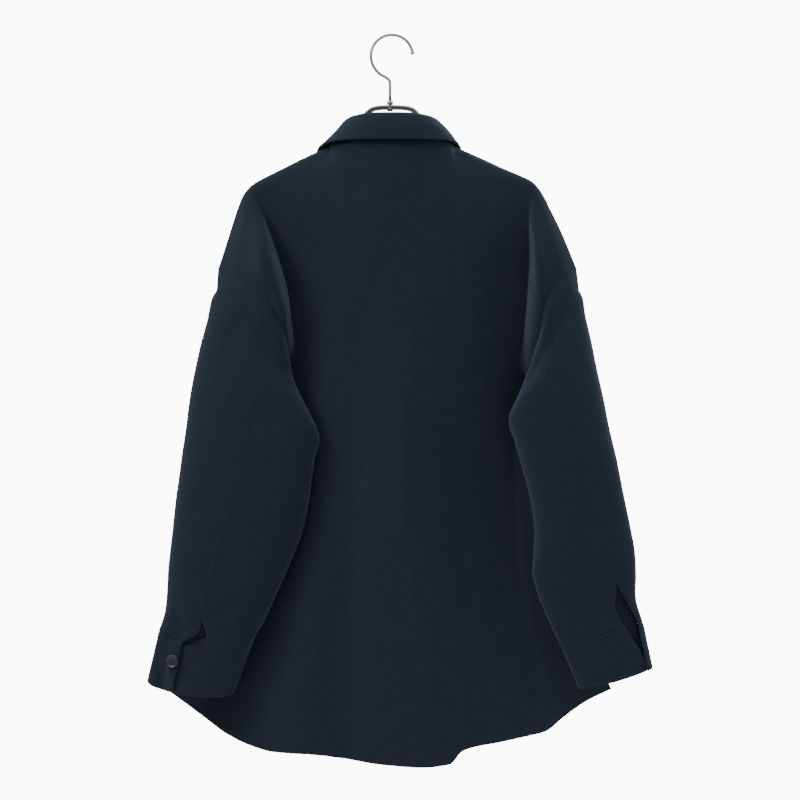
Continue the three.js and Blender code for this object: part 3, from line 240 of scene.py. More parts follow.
ball_turns = [math.radians(degrees) for degrees in range(175, 4, -17)]
ball_profile = [(BALL_RADIUS * math.sin(turn), BALL_RADIUS * math.cos(turn)) for turn in ball_turns]
ball = outwards(shift(lathe("hook_ball", ball_profile, 20, steel), *curve[0]))
dress(ball, "steel")
nut_profile = [(NUT_RADIUS - 0.7, NUT_BOTTOM), (NUT_RADIUS, NUT_BOTTOM + 0.6), (NUT_RADIUS, NUT_TOP - 0.6),
               (NUT_RADIUS - 0.6, NUT_TOP)]
nut = outwards(shift(lathe("hook_nut_turned", nut_profile, 24, steel), STEM, 0, 0))
dress(nut, "steel", "hook_nut")


# The hanger is one slim moulding of grey plastic: two flanges with a web between them, an arch under
# the hook, and arms that follow the shoulder seams from inside and carry the jacket.
# Shoulder seams: place (0 neck, 1 over the hanger's tip, 2 the top of the armhole), out, back, up.
SHOULDER = {1: [
    (0, 84, 0, -149),
    (0.33, 118, 0, -164.5),
    (0.66, 150, 0, -180.5),
    (0.85, 172, 0, -191.5),
    (1, 189, 0, -201.5),
    (1.2, 200, 1, -214),
    (1.45, 209, 2, -236),
    (1.7, 219.5, 3, -269),
    (2, 233, 4, -311),
], -1: [
    (0, 84, 0, -149),
    (0.33, 117, 0, -163.5),
    (0.66, 151, 0, -179),
    (0.85, 174, 0, -188.8),
    (1, 190, 0, -197),
    (1.2, 202, 1, -211),
    (1.45, 215, 2, -236),
    (1.7, 230, 3, -267),
    (2, 248, 4, -311),
]}
# The bar's arch, in its top line: out, up.
BAR_ARCH = [
    (0, -92.3),
    (13, -92.6),
    (21.5, -93.6),
    (29, -96),
    (34.5, -99.8),
    (39, -105),
    (44, -112),
    (66, -136),
    (92, -163),
]
ARCH_END = 92
ARM_START = 104
BAR_TIP = 183
# How far the arms lie under the shoulder seam.
BAR_UNDER = 2.0
# Half of the bar's section, from its rounded ridge down: sideways, up.
BAR_HALF = [(0.8, -0.2), (2.2, -1.1), (3.9, -2.1), (4.5, -2.7), (4.3, -3.2), (3.2, -3.5), (1.6, -3.7),
            (1.6, -5.1), (3.2, -5.3), (4.3, -5.6), (4.5, -6.2), (3.8, -6.8), (1.6, -7)]
BAR_SECTION = BAR_HALF + [(-out, up) for out, up in reversed(BAR_HALF)]
# The round boss that takes the nut: half its height, and how high its middle lies.
BOSS_HALF = 3.5
BOSS_RADIUS = 4
BOSS_UP = -97.6


def moulded_plastic():
    # ABS or polypropylene from a polished mould: warm grey, satin, with very slight flow marks.
    made, tree = new_material("moulded_grey_plastic")
    flow = grain(tree, 160.0, Detail=4.0)
    bump = add(tree, "ShaderNodeBump", {"Strength": 0.15, "Distance": 0.0001, "Height": flow})
    finish_material(tree, {"Base Color": to_linear("#6f6e69"), "Roughness": between(tree, flow, 0.32, 0.48),
                           "IOR": 1.5, "Normal": bump.outputs[0]})
    return made


plastic = moulded_plastic()


def read(rows, at):
    # Reads every column of a table at places along it, on a smooth curve that never overshoots.
    rows = np.asarray(rows, float)
    x, y = rows[:, 0], rows[:, 1:]
    slope = np.diff(y, axis=0) / np.diff(x)[:, None]
    before, after = slope[:-1], slope[1:]
    total = np.where(before * after > 0, before + after, 1)
    middle = np.where(before * after > 0, 2 * before * after / total, 0)
    tangent = np.vstack([slope[:1], middle, slope[-1:]])
    at = np.asarray(at, float)
    i = np.clip(np.searchsorted(x, at) - 1, 0, len(x) - 2)
    step = (x[i + 1] - x[i])[..., None]
    f = np.clip((at - x[i])[..., None] / step, 0, 1)
    rise = y[i + 1] - y[i]
    pull = f * (1 - f) * step * ((1 - f) * tangent[i] - f * tangent[i + 1])
    return y[i] + rise * f * f * (3 - 2 * f) + pull


def read_side(rows, at, sign):
    # The same for a line of places on one side of the jacket: +1 the wearer's left, -1 the right.
    return read(rows, at) * [sign, 1, 1]


def bar_half(sign):
    arch = np.linspace(0, ARCH_END, 60)
    arms = np.linspace(ARM_START, BAR_TIP, 24)
    line = [(row[1], row[3]) for row in SHOULDER[sign]]
    up = np.concatenate([read(BAR_ARCH, arch)[:, 0], read(line, arms)[:, 0] - BAR_UNDER])
    out = np.concatenate([arch, arms])
    return np.stack([sign * out, 0 * out, up], axis=1)


bar_path = np.vstack([bar_half(-1)[::-1], bar_half(1)[1:]])
bar = outwards(make_piece("hanger_moulding", *sweep(bar_path, BAR_SECTION), plastic, smooth=False))
bevel = bar.modifiers.new("soft_mould_edges", "BEVEL")
bevel.width = 0.0004
bevel.segments = 2
bevel.limit_method = "ANGLE"
bevel.angle_limit = math.radians(28)
dress(bar, "hanger_plastic", "hanger_bar")
boss_half = [(BOSS_RADIUS, BOSS_HALF - 0.4), (BOSS_RADIUS - 0.4, BOSS_HALF), (0.5, BOSS_HALF)]
boss_profile = [(radius, -up) for radius, up in reversed(boss_half)] + boss_half
boss = outwards(shift(lathe("hanger_boss", boss_profile, 32, plastic), STEM, 0, BOSS_UP))
dress(boss, "hanger_plastic")


# The back is one piece of brushed wool cloth, 2 mm thick, cut wide with the shoulders dropped over
# the hanger's tips. It is sewn to the collar stand, the fronts and the sleeves, and ends in a curved,
# turned hem. One deep soft fold falls from between the shoulders to the hem.
# Each line below: place along it, out from the middle, back from the hanger, up.
# The neck seam: 0 centre back, 1 shoulder seam, 2 centre front, 2.25 the end of the button stand.
NECK_SEAM = [
    (0, 0, 44, -139),
    (0.1, 9, 43.8, -139),
    (0.35, 34, 39.5, -140),
    (0.7, 64, 24, -143.5),
    (1, 84, 0, -149),
    (1.25, 81, -22, -160),
    (1.5, 66, -41, -179),
    (1.75, 37, -54, -199),
    (2, 0, -59, -209),
    (2.25, -17, -58.5, -208.5),
]
BACK_MIDDLE = [
    (0, 0, 44, -139),
    (0.1, 0, 46.5, -172),
    (0.4, 0, 49, -265),
    (1, 0, 46, -460),
    (1.5, 0, 42, -717),
    (2, 0, 34, -974),
]
# The crease where the body falls away from the dropped shoulder, carried down to the hem.
BACK_CREASE = {1: [
    (0, 189, 0, -201.5),
    (0.05, 181, 5, -216),
    (0.15, 170, 7, -247),
    (0.32, 154, 6, -296),
    (0.52, 140, 4, -348),
    (0.8, 132, 1, -416),
    (1, 128, 2, -462),
    (1.25, 132, 8, -578),
    (1.5, 150, 6, -698),
    (2, 196, 2, -948),
], -1: [
    (0, 190, 0, -197),
    (0.05, 187, 5, -212),
    (0.15, 185, 7, -244),
    (0.32, 186, 5, -294),
    (0.5, 184, 2, -340),
    (0.8, 178, -2, -416),
    (1, 170, -5, -464),
    (1.25, 164, -6, -578),
    (1.5, 168, -2, -698),
    (2, 200, 2, -938),
]}
BACK_ARMHOLE = {1: [
    (0, 233, 4, -311),
    (0.12, 211, 30, -327),
    (0.27, 187, 42, -341),
    (0.42, 164, 46, -357),
    (0.54, 152, 43, -380),
    (0.68, 142, 32, -408),
    (0.82, 141, 17, -437),
    (0.92, 150, -1, -457),
    (1, 165, -19, -466),
], -1: [
    (0, 248, 4, -311),
    (0.12, 232, 27, -325),
    (0.27, 214, 36, -342),
    (0.42, 204, 38, -370),
    (0.54, 201, 35, -393),
    (0.68, 194, 26, -420),
    (0.82, 187, 12, -446),
    (0.92, 184, -2, -462),
    (1, 187, -20, -472),
]}
SIDE_SEAM = {1: [
    (1, 165, -19, -466),
    (1.1, 171, -31, -506),
    (1.35, 193, -43, -605),
    (1.6, 232, -45, -715),
    (1.8, 267, -44, -795),
    (2, 306, -40, -885),
], -1: [
    (1, 187, -20, -472),
    (1.1, 191, -32, -508),
    (1.35, 204, -43, -605),
    (1.6, 230, -45, -715),
    (1.8, 262, -44, -795),
    (2, 299, -40, -884),
]}
# The hem: place along X, up.
BACK_HEM = [
    (-299, -884),
    (-263, -900),
    (-230, -922),
    (-208, -938),
    (-186, -943),
    (-143, -951),
    (-110, -956),
    (-91, -963),
    (-86, -970),
    (-78, -977),
    (-35, -982),
    (8, -980),
    (72, -971),
    (115, -967),
    (159, -965),
    (191, -957),
    (224, -942),
    (257, -919),
    (306, -885),
]
# Soft folds: top x, top up, bottom x, bottom up, rise towards the back, spread to the wearer's right,
# spread to the wearer's left.
BACK_FOLDS = [
    (-36, -270, -78, -985, 9, 20, 60),
    (-20, -230, -62, -985, 17, 95, 80),
    (14, -240, 58, -760, -5, 20, 28),
    (-128, -400, -126, -760, 4, 28, 32),
    (90, -560, 130, -985, 6, 30, 30),
    (-150, -640, -190, -960, 4, 34, 34),
]
# Smaller creases on the back: from x, up, to x, up, width, depth (minus is a valley).
BACK_CREASES = [
    (-34, -300, -84, -985, 14, 3.0),
    (-66, -380, -118, -860, 26, -6.0),
    (6, -300, 10, -700, 30, 2.6),
    (-36, -330, -74, -900, 9, 1.6),
    (126, -470, 92, -560, 12, -2.2),
    (120, -420, 70, -500, 16, -1.6),
    (-170, -400, -120, -470, 14, -1.4),
    (-178, -470, -150, -620, 15, -1.6),
    (14, -300, 46, -640, 16, -1.8),
    (-90, -170, -150, -260, 20, 1.0),
    (95, -170, 150, -270, 20, 1.0),
    (-8, -560, -30, -940, 22, 1.8),
    (-100, -700, -120, -950, 20, 1.6),
    (120, -700, 165, -930, 18, 1.8),
    (60, -760, 76, -950, 16, -1.4),
    (-60, -150, -40, -230, 16, -0.8),
    (50, -150, 36, -240, 14, -0.7),
]
CLOTH = 2.0
# Rows of the panels: down to the armhole's foot, gathered towards the shoulder, and on down the side.
ARMHOLE_ROWS = 12
SIDE_ROWS = 12
ROW_GATHER = 1.8
# How far down, as a share of the armhole, the shoulder line's shape and the neck's spacing last.
SHOULDER_REACH = 0.15
NECK_SPREAD = 0.22
# The cloth rolls over the hanger's bar close to the shoulder seam.
BAR_ROLL = {"depth": 7.2, "within": 1.5, "line_length": 270, "neck_share": 0.6}
# Past the collar's shoulder point the cloth is eased smooth: share, columns either side, rounds.
EASE = {"share": 0.5, "spread": 0.4, "rounds": 80}
# Half the step between the lapped layers of the fronts and of the collar stand.
LAP_HALF_STEP = 1.9


def brushed_wool():
    # Milled and brushed wool coating: near-black navy with a matt nap. The fibres catch light at
    # grazing angles, lie in small tufts, and hide the weave.
    made, tree = new_material("brushed_wool")
    patch = grain(tree, 38.0, Detail=4.0, Roughness=0.6)
    tuft = grain(tree, 330.0, Detail=5.0, Roughness=0.65)
    fibre = grain(tree, 1300.0, Detail=4.0, Roughness=0.7)
    tone = blend(tree, tuft, "#12171d", "#222a33")
    colour = blend(tree, between(tree, patch, 0.0, 0.4, 0.35, 0.75), tone, "#20262c")
    high = add(tree, "ShaderNodeMath", {0: tuft, 1: 0.6}, operation="MULTIPLY")
    height = add(tree, "ShaderNodeMath", {0: fibre, 1: high.outputs[0]}, operation="ADD")
    bump = add(tree, "ShaderNodeBump", {"Strength": 0.7, "Distance": 0.0007, "Height": height.outputs[0]})
    finish_material(tree, {
        "Base Color": colour, "Roughness": 0.95, "IOR": 1.5, "Specular IOR Level": 0.15, "Sheen Weight": 0.35,
        "Sheen Roughness": 0.5, "Sheen Tint": to_linear("#8fa0b4"), "Normal": bump.outputs[0]})
    return made


wool = brushed_wool()


def smooth(value, low, high):
    # Rises gently from 0 at low to 1 at high.
    f = np.clip((value - low) / (high - low), 0, 1)
    return f * f * (3 - 2 * f)


def lap_step(sign, at):
    # The left front lies over the right one: the lapped layers part near the centre front.
    return -sign * LAP_HALF_STEP * smooth(at, 1.5, 1.95)


def neck(rows, sign, at):
    # A point of the neck seam or the collar's fold, with the lap of the fronts.
    point = read_side(rows, at, sign)
    point[..., 1] += lap_step(sign, np.asarray(at, float))
    return point


def fold_rise(folds, x, up):
    # How far soft folds carry the cloth back; each grows from its top and widens to unequal sides.
    rise = 0 * x
    for top_x, top_up, bottom_x, bottom_up, high, to_right, to_left in folds:
        down = np.clip((top_up - up) / (top_up - bottom_up), 0, 1)
        away = x - (top_x + (bottom_x - top_x) * down)
        spread = np.where(away < 0, to_right, to_left)
        rise += high * smooth(down, 0, 0.5) * np.exp(-((away / spread) ** 2))
    return rise


def crease_rise(creases, x, up):
    # How far creases raise the cloth; each is slightly bowed and fades out at both ends.
    rise = 0 * x
    for x0, up0, x1, up1, width, depth in creases:
        length = math.hypot(x1 - x0, up1 - up0)
        ax, az = (x1 - x0) / length, (up1 - up0) / length
        along = ((x - x0) * ax + (up - up0) * az) / length
        across = (x - x0) * az - (up - up0) * ax + 0.06 * length * np.sin(math.pi * along)
        fade = smooth(along, -0.12, 0.35) * (1 - smooth(along, 0.65, 1.12))
        rise += depth * fade * np.exp(-((across / width) ** 2))
    return rise


def mix(a, b, f):
    return a + (b - a) * f[..., None]


def panel_points(cut, sign, rows, across):
    # The middle surface of half a back or of a front. Across it, 0 is the armhole, 1 the crease, 2 the
    # neck's shoulder point and 3 the middle of the body.
    row, s = np.meshgrid(rows, across, indexing="ij")
    at = np.where(row < ARMHOLE_ROWS, (row / ARMHOLE_ROWS) ** ROW_GATHER,
                  1 + (row - ARMHOLE_ROWS) / SIDE_ROWS)
    drop = np.clip(1 - s, 0, 1)
    neck_at = 1 + cut["neck_way"] * np.clip(s - 2, 0, 2)
    top = np.where((s > 2)[..., None], neck(NECK_SEAM, sign, neck_at),
                   read_side(SHOULDER[sign], np.clip(2 - s, 0, 2), sign))
    tip = read_side(SHOULDER[sign], 1.0, sign)

    def form(at, share):
        crease = read_side(cut["crease"][sign], at, sign)
        middle = read_side(cut["middle"], at, sign)
        point = mix(crease, middle, 1 - np.abs(share) ** cut["fullness"])
        point[..., 0] = crease[..., 0] * share
        point[..., 2] = crease[..., 2] + (middle[..., 2] - crease[..., 2]) * (1 - share ** 2)
        return point

    fade = np.exp(-at / SHOULDER_REACH)
    top_share = top[..., 0] / tip[0]
    neck_share = SHOULDER[sign][0][1] / abs(tip[0])
    from_middle = np.abs(2 - neck_at if cut["neck_way"] > 0 else neck_at)
    even = np.where((s > 2) & (neck_at <= 2), neck_share * from_middle, top_share)
    share = top_share + (even - top_share) * smooth(at, 0, NECK_SPREAD)
    body = form(at, share) + (top - form(0 * at, top_share)) * fade[..., None]
    if cut["neck_way"] > 0:
        body[..., 1] += lap_step(sign, neck_at) * (1 - fade)
    # The cloth hangs smoothly past the collar's shoulder point.
    softened = np.exp(-(((s - 2) / EASE["spread"]) ** 2)) * smooth(at, 0.02, 0.1) * EASE["share"]
    for _ in range(EASE["rounds"]):
        mean = (body[:, :-2, 1] + body[:, 2:, 1]) / 2
        body[:, 1:-1, 1] += softened[:, 1:-1] * (mean - body[:, 1:-1, 1])

    edge = np.where((row <= ARMHOLE_ROWS)[..., None],
                    read_side(cut["armhole"][sign], np.clip(row / ARMHOLE_ROWS, 0, 1), sign),
                    read_side(SIDE_SEAM[sign], np.clip(1 + (row - ARMHOLE_ROWS) / SIDE_ROWS, 1, 2), sign))
    edge_top = read_side(cut["armhole"][sign], 0.0, sign)
    crease = read_side(cut["crease"][sign], at, sign)
    dropped = mix(crease, edge, drop) + (top - mix(tip + 0 * top, edge_top + 0 * top, drop)) * fade[..., None]
    bulge = smooth(at, 0, 0.16) * (1 - smooth(at, 0.35, 1))
    dropped[..., 1] += cut["bulge"][sign] * np.sin(math.pi * drop) * bulge
    point = np.where((drop > 0)[..., None], dropped, body)

    rolled = 1 - smooth(np.abs(1 - neck_at), 0, BAR_ROLL["neck_share"])
    rolled *= 1 - np.exp(-at * BAR_ROLL["line_length"] / BAR_ROLL["within"])
    point[..., 1] += cut["face"] * BAR_ROLL["depth"] * fade * rolled * (1 - smooth(drop, 0.72, 1))
    hem = read(cut["hem"], point[..., 0])[..., 0]
    crease_end, side_end = read(cut["crease"][sign], 2.0)[2], read(SIDE_SEAM[sign], 2.0)[2]
    plain = np.where(drop > 0, crease_end + (side_end - crease_end) * drop,
                     form(0 * at + 2, top_share)[..., 2])
    point[..., 2] += (hem - plain) * np.maximum(0, at - 1) ** 2
    point[..., 1] += fold_rise(cut["folds"], point[..., 0], point[..., 2]) * (1 - smooth(drop, 0, 1))
    creased = crease_rise(cut["creases"], point[..., 0], point[..., 2])
    point[..., 1] += cut["face"] * creased * (1 - smooth(drop, 0.5, 1))
    return point


def lengths(points):
    # The distance of each point from the first row, along its column.
    step = np.linalg.norm(np.diff(points, axis=0), axis=-1)
    return np.concatenate([np.zeros((1, points.shape[1])), np.cumsum(step, axis=0)])


def at_distance(points, length, distance):
    # The line of points that lies at one distance from the first row.
    line = np.empty(points.shape[1:])
    for j in range(points.shape[1]):
        for axis in range(3):
            line[j, axis] = np.interp(distance, length[:, j], points[:, j, axis])
    return line


def edge_rows(points, steps):
    # Puts rows of points at set distances from the first row, in place of the rows that lie so near.
    length = lengths(points)
    keep = int(np.argmax(length.min(axis=1) > steps[-1] + 1.5))
    return np.concatenate([[at_distance(points, length, step) for step in steps], points[keep:]])


# Rows of points near an edge: distances from a seam, and from a hem's edge and from its stitching.
SEAM_STEPS = (0.03, 0.6, 1.1, 1.8, 3.0)
HEM_EDGE_STEPS = (0, 0.35, 0.9, 1.8)
HEM_STITCH_STEPS = (-3.2, -2.2, -1.5, -0.7, 0.2, 1.2)
# How a wall's edge rounds off: the radius, and the share of its thickness that is left at the edge.
EDGE_ROUND = {"seam": (2.4, 0.12), "hem": (1.2, 0.22)}
# How far from an edge the cloth's unevenness starts, at full strength.
EVEN_EDGE = 12


def undulate(points, seed):
    # The slight unevenness that steamed wool keeps.
    rise = np.empty(points.shape[:2])
    for index in np.ndindex(rise.shape):
        place = Vector(points[index])
        rise[index] = 0.55 * noise.noise(place / 46 + Vector((seed, 0, 0))) + 0.25 * noise.noise(place / 19)
    return rise


def normals_of(points, flip):
    # The outer face's direction at each point; flip turns it for a grid laid out the other way.
    normal = np.cross(np.gradient(points, axis=1), np.gradient(points, axis=0))
    length = np.linalg.norm(normal, axis=-1, keepdims=True)
    return normal * (1 if flip else -1) / np.maximum(length, 1e-9)


def cloth(name, middle, flip, edges, thickness=CLOTH, seed=0, hem_width=10.0, double=0.45):
    # Makes a wall of cloth round its middle surface. Edges, in the order top, bottom, start, end, are
    # "seam" where the cloth turns in, or "hem" where it is folded double and stitched down.
    points = middle
    hem_steps = (*HEM_EDGE_STEPS, *[hem_width + step for step in HEM_STITCH_STEPS])
    for axis in (0, 1):
        for end in (0, 1):
            turned = points if axis == 0 else points.transpose(1, 0, 2)
            turned = turned[::-1] if end else turned
            turned = edge_rows(turned, SEAM_STEPS if edges[2 * axis + end] == "seam" else hem_steps)
            turned = turned[::-1] if end else turned
            points = turned if axis == 0 else turned.transpose(1, 0, 2)
    down, across = lengths(points), lengths(points.transpose(1, 0, 2)).T
    distances = [down, down[-1] - down, across, across[:, -1:] - across]
    normal = normals_of(points, flip)
    rows, columns = points.shape[:2]
    height = np.full((rows, columns), thickness / 2)
    near_edge = np.ones((rows, columns))
    for kind, distance in zip(edges, distances):
        radius, low = EDGE_ROUND[kind]
        near_edge *= np.maximum(low, np.sqrt(1 - (1 - np.minimum(distance / radius, 1)) ** 2))
        if kind == "hem":
            folded = double * (1 - smooth(distance, hem_width - 0.9, hem_width + 0.3))
            stitched = 0.35 * np.exp(-(((distance - hem_width + 1.5) / 0.9) ** 2)) * (double > 0)
            height += folded - stitched
    wave = undulate(points, seed) * smooth(np.min(distances, axis=0), 0, EVEN_EDGE)
    outer = points + normal * (height * near_edge + wave)[..., None]
    inner = points - normal * (height * near_edge - wave)[..., None]
    count = rows * columns

    def quads(start, turn):
        index = start + np.arange(count).reshape(rows, columns)
        a, b, c, d = index[:-1, :-1], index[1:, :-1], index[1:, 1:], index[:-1, 1:]
        order = (a, b, c, d) if turn else (a, d, c, b)
        return np.stack(order, axis=-1).reshape(-1, 4)

    index = np.arange(count).reshape(rows, columns)
    rim = np.concatenate([index[0, :-1], index[:-1, -1], index[-1, :0:-1], index[:0:-1, 0]])
    after = np.roll(rim, -1)
    closing = np.stack([rim, rim + count, after + count, after] if flip
                       else [rim, after, after + count, rim + count], axis=-1)
    faces = np.concatenate([quads(0, not flip), quads(count, flip), closing])
    both = np.concatenate([outer.reshape(-1, 3), inner.reshape(-1, 3)])
    piece = make_piece(name, both, faces.tolist(), wool)
    layer = piece.data.uv_layers.new(name="cloth")
    flat = np.stack([across, down], axis=-1).reshape(-1, 2) / 1000
    flat = np.concatenate([flat, flat])
    corners = np.empty(len(piece.data.loops), int)
    piece.data.loops.foreach_get("vertex_index", corners)
    layer.data.foreach_set("uv", flat[corners].ravel())
    return {"piece": piece, "outer": outer, "normal": normal}


PANEL_ROWS = np.concatenate([[0, 0.12, 0.25, 0.4, 0.55, 0.75],
                             np.arange(1, ARMHOLE_ROWS + SIDE_ROWS + 0.01, 0.25)])
# The back's cut: which way it faces and runs along the neck, its lines, how full it is across, and how
# far each dropped shoulder bulges back.
BACK = {"face": 1, "neck_way": -1, "middle": BACK_MIDDLE, "crease": BACK_CREASE, "armhole": BACK_ARMHOLE,
        "hem": BACK_HEM, "folds": BACK_FOLDS, "creases": BACK_CREASES, "fullness": 1.9,
        "bulge": {1: 26, -1: 16}}
half_across = np.concatenate([np.linspace(0, 1, 19), np.linspace(1, 2, 25)[1:], np.linspace(2, 3, 20)[1:]])
back_middle = np.concatenate([panel_points(BACK, -1, PANEL_ROWS, half_across),
                              panel_points(BACK, 1, PANEL_ROWS, half_across)[:, -2::-1]], axis=1)
back = cloth("back_wool", back_middle, True, ("seam", "hem", "seam", "seam"), seed=1)
dress(back["piece"], "wool", "back_panel")


# The two fronts are cut like the back and lap over each other down the middle, the left one outside,
# with a turned button stand down each edge. Shoulder and side seams join them to the back.
FRONT_MIDDLE = [
    (0, 0, -59, -209),
    (0.1, 0, -62, -234),
    (0.4, 0, -71, -306),
    (1, 0, -76, -468),
    (1.5, 0, -74, -712),
    (2, 0, -68, -956),
]
FRONT_CREASE = {1: [
    (0, 189, 0, -201.5),
    (0.05, 182, -7, -217),
    (0.15, 173, -13, -248),
    (0.32, 160, -17, -297),
    (0.5, 151, -20, -342),
    (0.8, 143, -27, -418),
    (1, 140, -36, -464),
    (1.5, 163, -58, -700),
    (2, 200, -58, -938),
], -1: [
    (0, 190, 0, -197),
    (0.05, 187, -7, -213),
    (0.15, 183, -12, -245),
    (0.32, 177, -16, -296),
    (0.5, 170, -20, -342),
    (0.8, 160, -28, -418),
    (1, 155, -37, -464),
    (1.5, 170, -58, -700),
    (2, 200, -58, -938),
]}
FRONT_ARMHOLE = {1: [
    (0, 233, 4, -311),
    (0.12, 217, -18, -327),
    (0.27, 198, -34, -344),
    (0.42, 182, -44, -366),
    (0.58, 172, -48, -395),
    (0.75, 166, -44, -426),
    (0.9, 164, -33, -453),
    (1, 165, -19, -466),
], -1: [
    (0, 248, 4, -311),
    (0.12, 231, -18, -327),
    (0.27, 213, -34, -344),
    (0.42, 198, -44, -367),
    (0.58, 189, -48, -397),
    (0.75, 184, -44, -430),
    (0.9, 184, -33, -458),
    (1, 187, -20, -472),
]}
FRONT_HEM = [
    (-299, -884),
    (-247, -907),
    (-180, -933),
    (-90, -951),
    (0, -956),
    (90, -952),
    (183, -935),
    (247, -909),
    (306, -885),
]
FRONT_FOLDS = [
    (70, -300, 92, -975, -11, 34, 22),
    (-66, -330, -104, -975, -12, 24, 36),
    (110, -480, 165, -960, 6, 20, 24),
    (-120, -520, -180, -960, 5, 24, 20),
]
FRONT_CREASES = [
    (130, -300, 96, -420, 14, -1.6),
    (-146, -320, -110, -430, 13, -1.5),
    (70, -330, 88, -900, 12, 1.2),
    (-66, -360, -100, -900, 12, 1.3),
    (120, -470, 70, -560, 16, -1.8),
    (-140, -480, -90, -590, 16, -1.6),
    (150, -620, 175, -900, 20, 1.6),
    (-150, -640, -185, -900, 20, 1.5),
    (40, -560, 30, -930, 18, 1.2),
    (-40, -640, -46, -940, 20, 1.2),
]
FRONT = {"face": -1, "neck_way": 1, "middle": FRONT_MIDDLE, "crease": FRONT_CREASE,
         "armhole": FRONT_ARMHOLE, "hem": FRONT_HEM, "folds": FRONT_FOLDS, "creases": FRONT_CREASES,
         "fullness": 2.2, "bulge": {1: -14, -1: -14}}
front_across = np.concatenate([half_across, np.linspace(3, 3.25, 7)[1:]])
fronts = {}
for sign, side in ((1, "left"), (-1, "right")):
    middle = panel_points(FRONT, sign, PANEL_ROWS, front_across)
    fronts[sign] = cloth(f"front_wool_{side}", middle, sign > 0, ("seam", "hem", "seam", "hem"),
                         seed=3 + sign)
    dress(fronts[sign]["piece"], "wool", f"front_{side}")


# Each sleeve is cut in two pieces, an upper and an under one, joined by a seam down the back of the
# arm and one under it. It hangs from the dropped armhole seam, bowed outwards, and narrows to a cuff.
# Sections across the sleeve, from the armhole down; the last two are the top and bottom of the cuff:
# outer edge out, up, back; inner edge out, up, back; depth to the back, to the front, to the front
# behind the body; how far the front drops; the angles from the outer edge round the back of the upper
# piece's edge, the under piece's edge and the underarm seam; how far lapped edges part; how far the
# edge sags at the back; and how far the cloth is pinched in beside the slit, at the angle below.
SLEEVE = {1: [
    (240, -350, 5, 126, -480, 22, 38, 52, 8, 60, 88, 88, 250, 0, 0, 0),
    (248, -384, 8, 99, -534, 32, 41, 45, 14, 46, 90, 90, 252, 0, 0, 0),
    (256, -414, 12, 104, -566, 34, 42, 36, 18, 34, 90, 90, 250, 0, 0, 0),
    (263, -446, 16, 108, -597, 34, 42, 31, 22, 22, 89, 89, 246, 0, 0, 0),
    (270, -487, 20, 113, -634, 33, 41, 28, 24, 12, 88, 88, 240, 0, 0, 0),
    (276, -530, 23, 122, -671, 32, 39, 27, 25, 5, 88, 88, 234, 0, 0, 0),
    (283, -578, 25, 136, -707, 31, 37, 25, 25, 0, 88, 88, 228, 0, 0, 0),
    (289, -625, 26, 152, -744, 30, 35, 24, 24, 0, 87, 87, 222, 0, 0, 0),
    (294, -672, 27, 169, -780, 29, 32, 22, 22, 0, 85, 85, 218, 0, 0, 0),
    (299, -715, 27, 183, -807, 28, 29, 20, 20, 0, 86, 86, 218, 0, 0, 0),
    (301, -750, 26, 192, -829, 27, 25, 18, 18, 0, 83, 83, 218, 0, 0, 0),
    (303, -776, 25, 196, -841, 27, 21, 17, 17, 0, 80, 90, 218, 2.2, 0, 3),
    (311, -803, 24, 200, -853, 26, 18, 16, 16, 0, 64, 46, 218, 2.5, 0, 5),
    (326, -869, 23, 213, -883, 25, 18, 15, 15, 0, 66, 20, 218, 2.2, 11, 7),
], -1: [
    (255, -348, 5, 172, -482, 16, 33, 50, 8, 60, 86, 86, 250, 0, 0, 0),
    (261, -380, 9, 158, -515, 26, 37, 44, 14, 46, 84, 84, 252, 0, 0, 0),
    (268, -413, 13, 165, -541, 30, 39, 36, 18, 34, 82, 82, 250, 0, 0, 0),
    (275, -449, 17, 173, -569, 31, 40, 31, 22, 22, 81, 81, 246, 0, 0, 0),
    (284, -490, 21, 181, -601, 31, 39, 28, 24, 12, 81, 81, 240, 0, 0, 0),
    (292, -530, 24, 189, -634, 31, 38, 27, 25, 5, 82, 82, 234, 0, 0, 0),
    (302, -572, 26, 192, -666, 30, 36, 26, 26, 0, 82, 82, 228, 0, 0, 0),
    (310, -614, 28, 191, -697, 30, 34, 24, 24, 0, 80, 80, 222, 0, 0, 0),
    (318.5, -655, 28, 190, -724, 29, 32, 22, 22, 0, 75, 75, 218, 0, 0, 0),
    (325, -692, 28, 196, -748, 28, 29, 20, 20, 0, 66, 66, 218, 0, 0, 0),
    (327, -726, 27, 205, -771, 27, 25, 18, 18, 0, 56, 56, 218, 0, 0, 0),
    (326, -760, 26, 215, -796, 27, 22, 17, 17, 0, 38, 58, 218, 2.2, 0, 1),
    (335, -790, 25, 227, -820, 26, 19, 16, 16, 0, 28, 52, 218, 2.2, 0, 2),
    (348, -851, 24, 252, -878, 25, 17, 15, 15, 0, 30, 14, 218, 2.2, 4, 0),
]}
UPPER_EDGE, UNDER_EDGE, UNDERARM, LIFT = 10, 11, 12, 13
PINCH = {"at": 50, "spread": 13}
# Between the armhole and the first section: the share of the way, the roll to the back, the sag.
SLEEVE_HEAD = {"share": 0.35, "roll": 5, "sag": 3}
# Lines down the sleeve are numbered round the arm from the top of the armhole, back first: 6 is the
# seam down the back, 12 the underarm seam and 24 the top again.
SEAM_COLUMN = 6
RING = 2 * ARMHOLE_ROWS


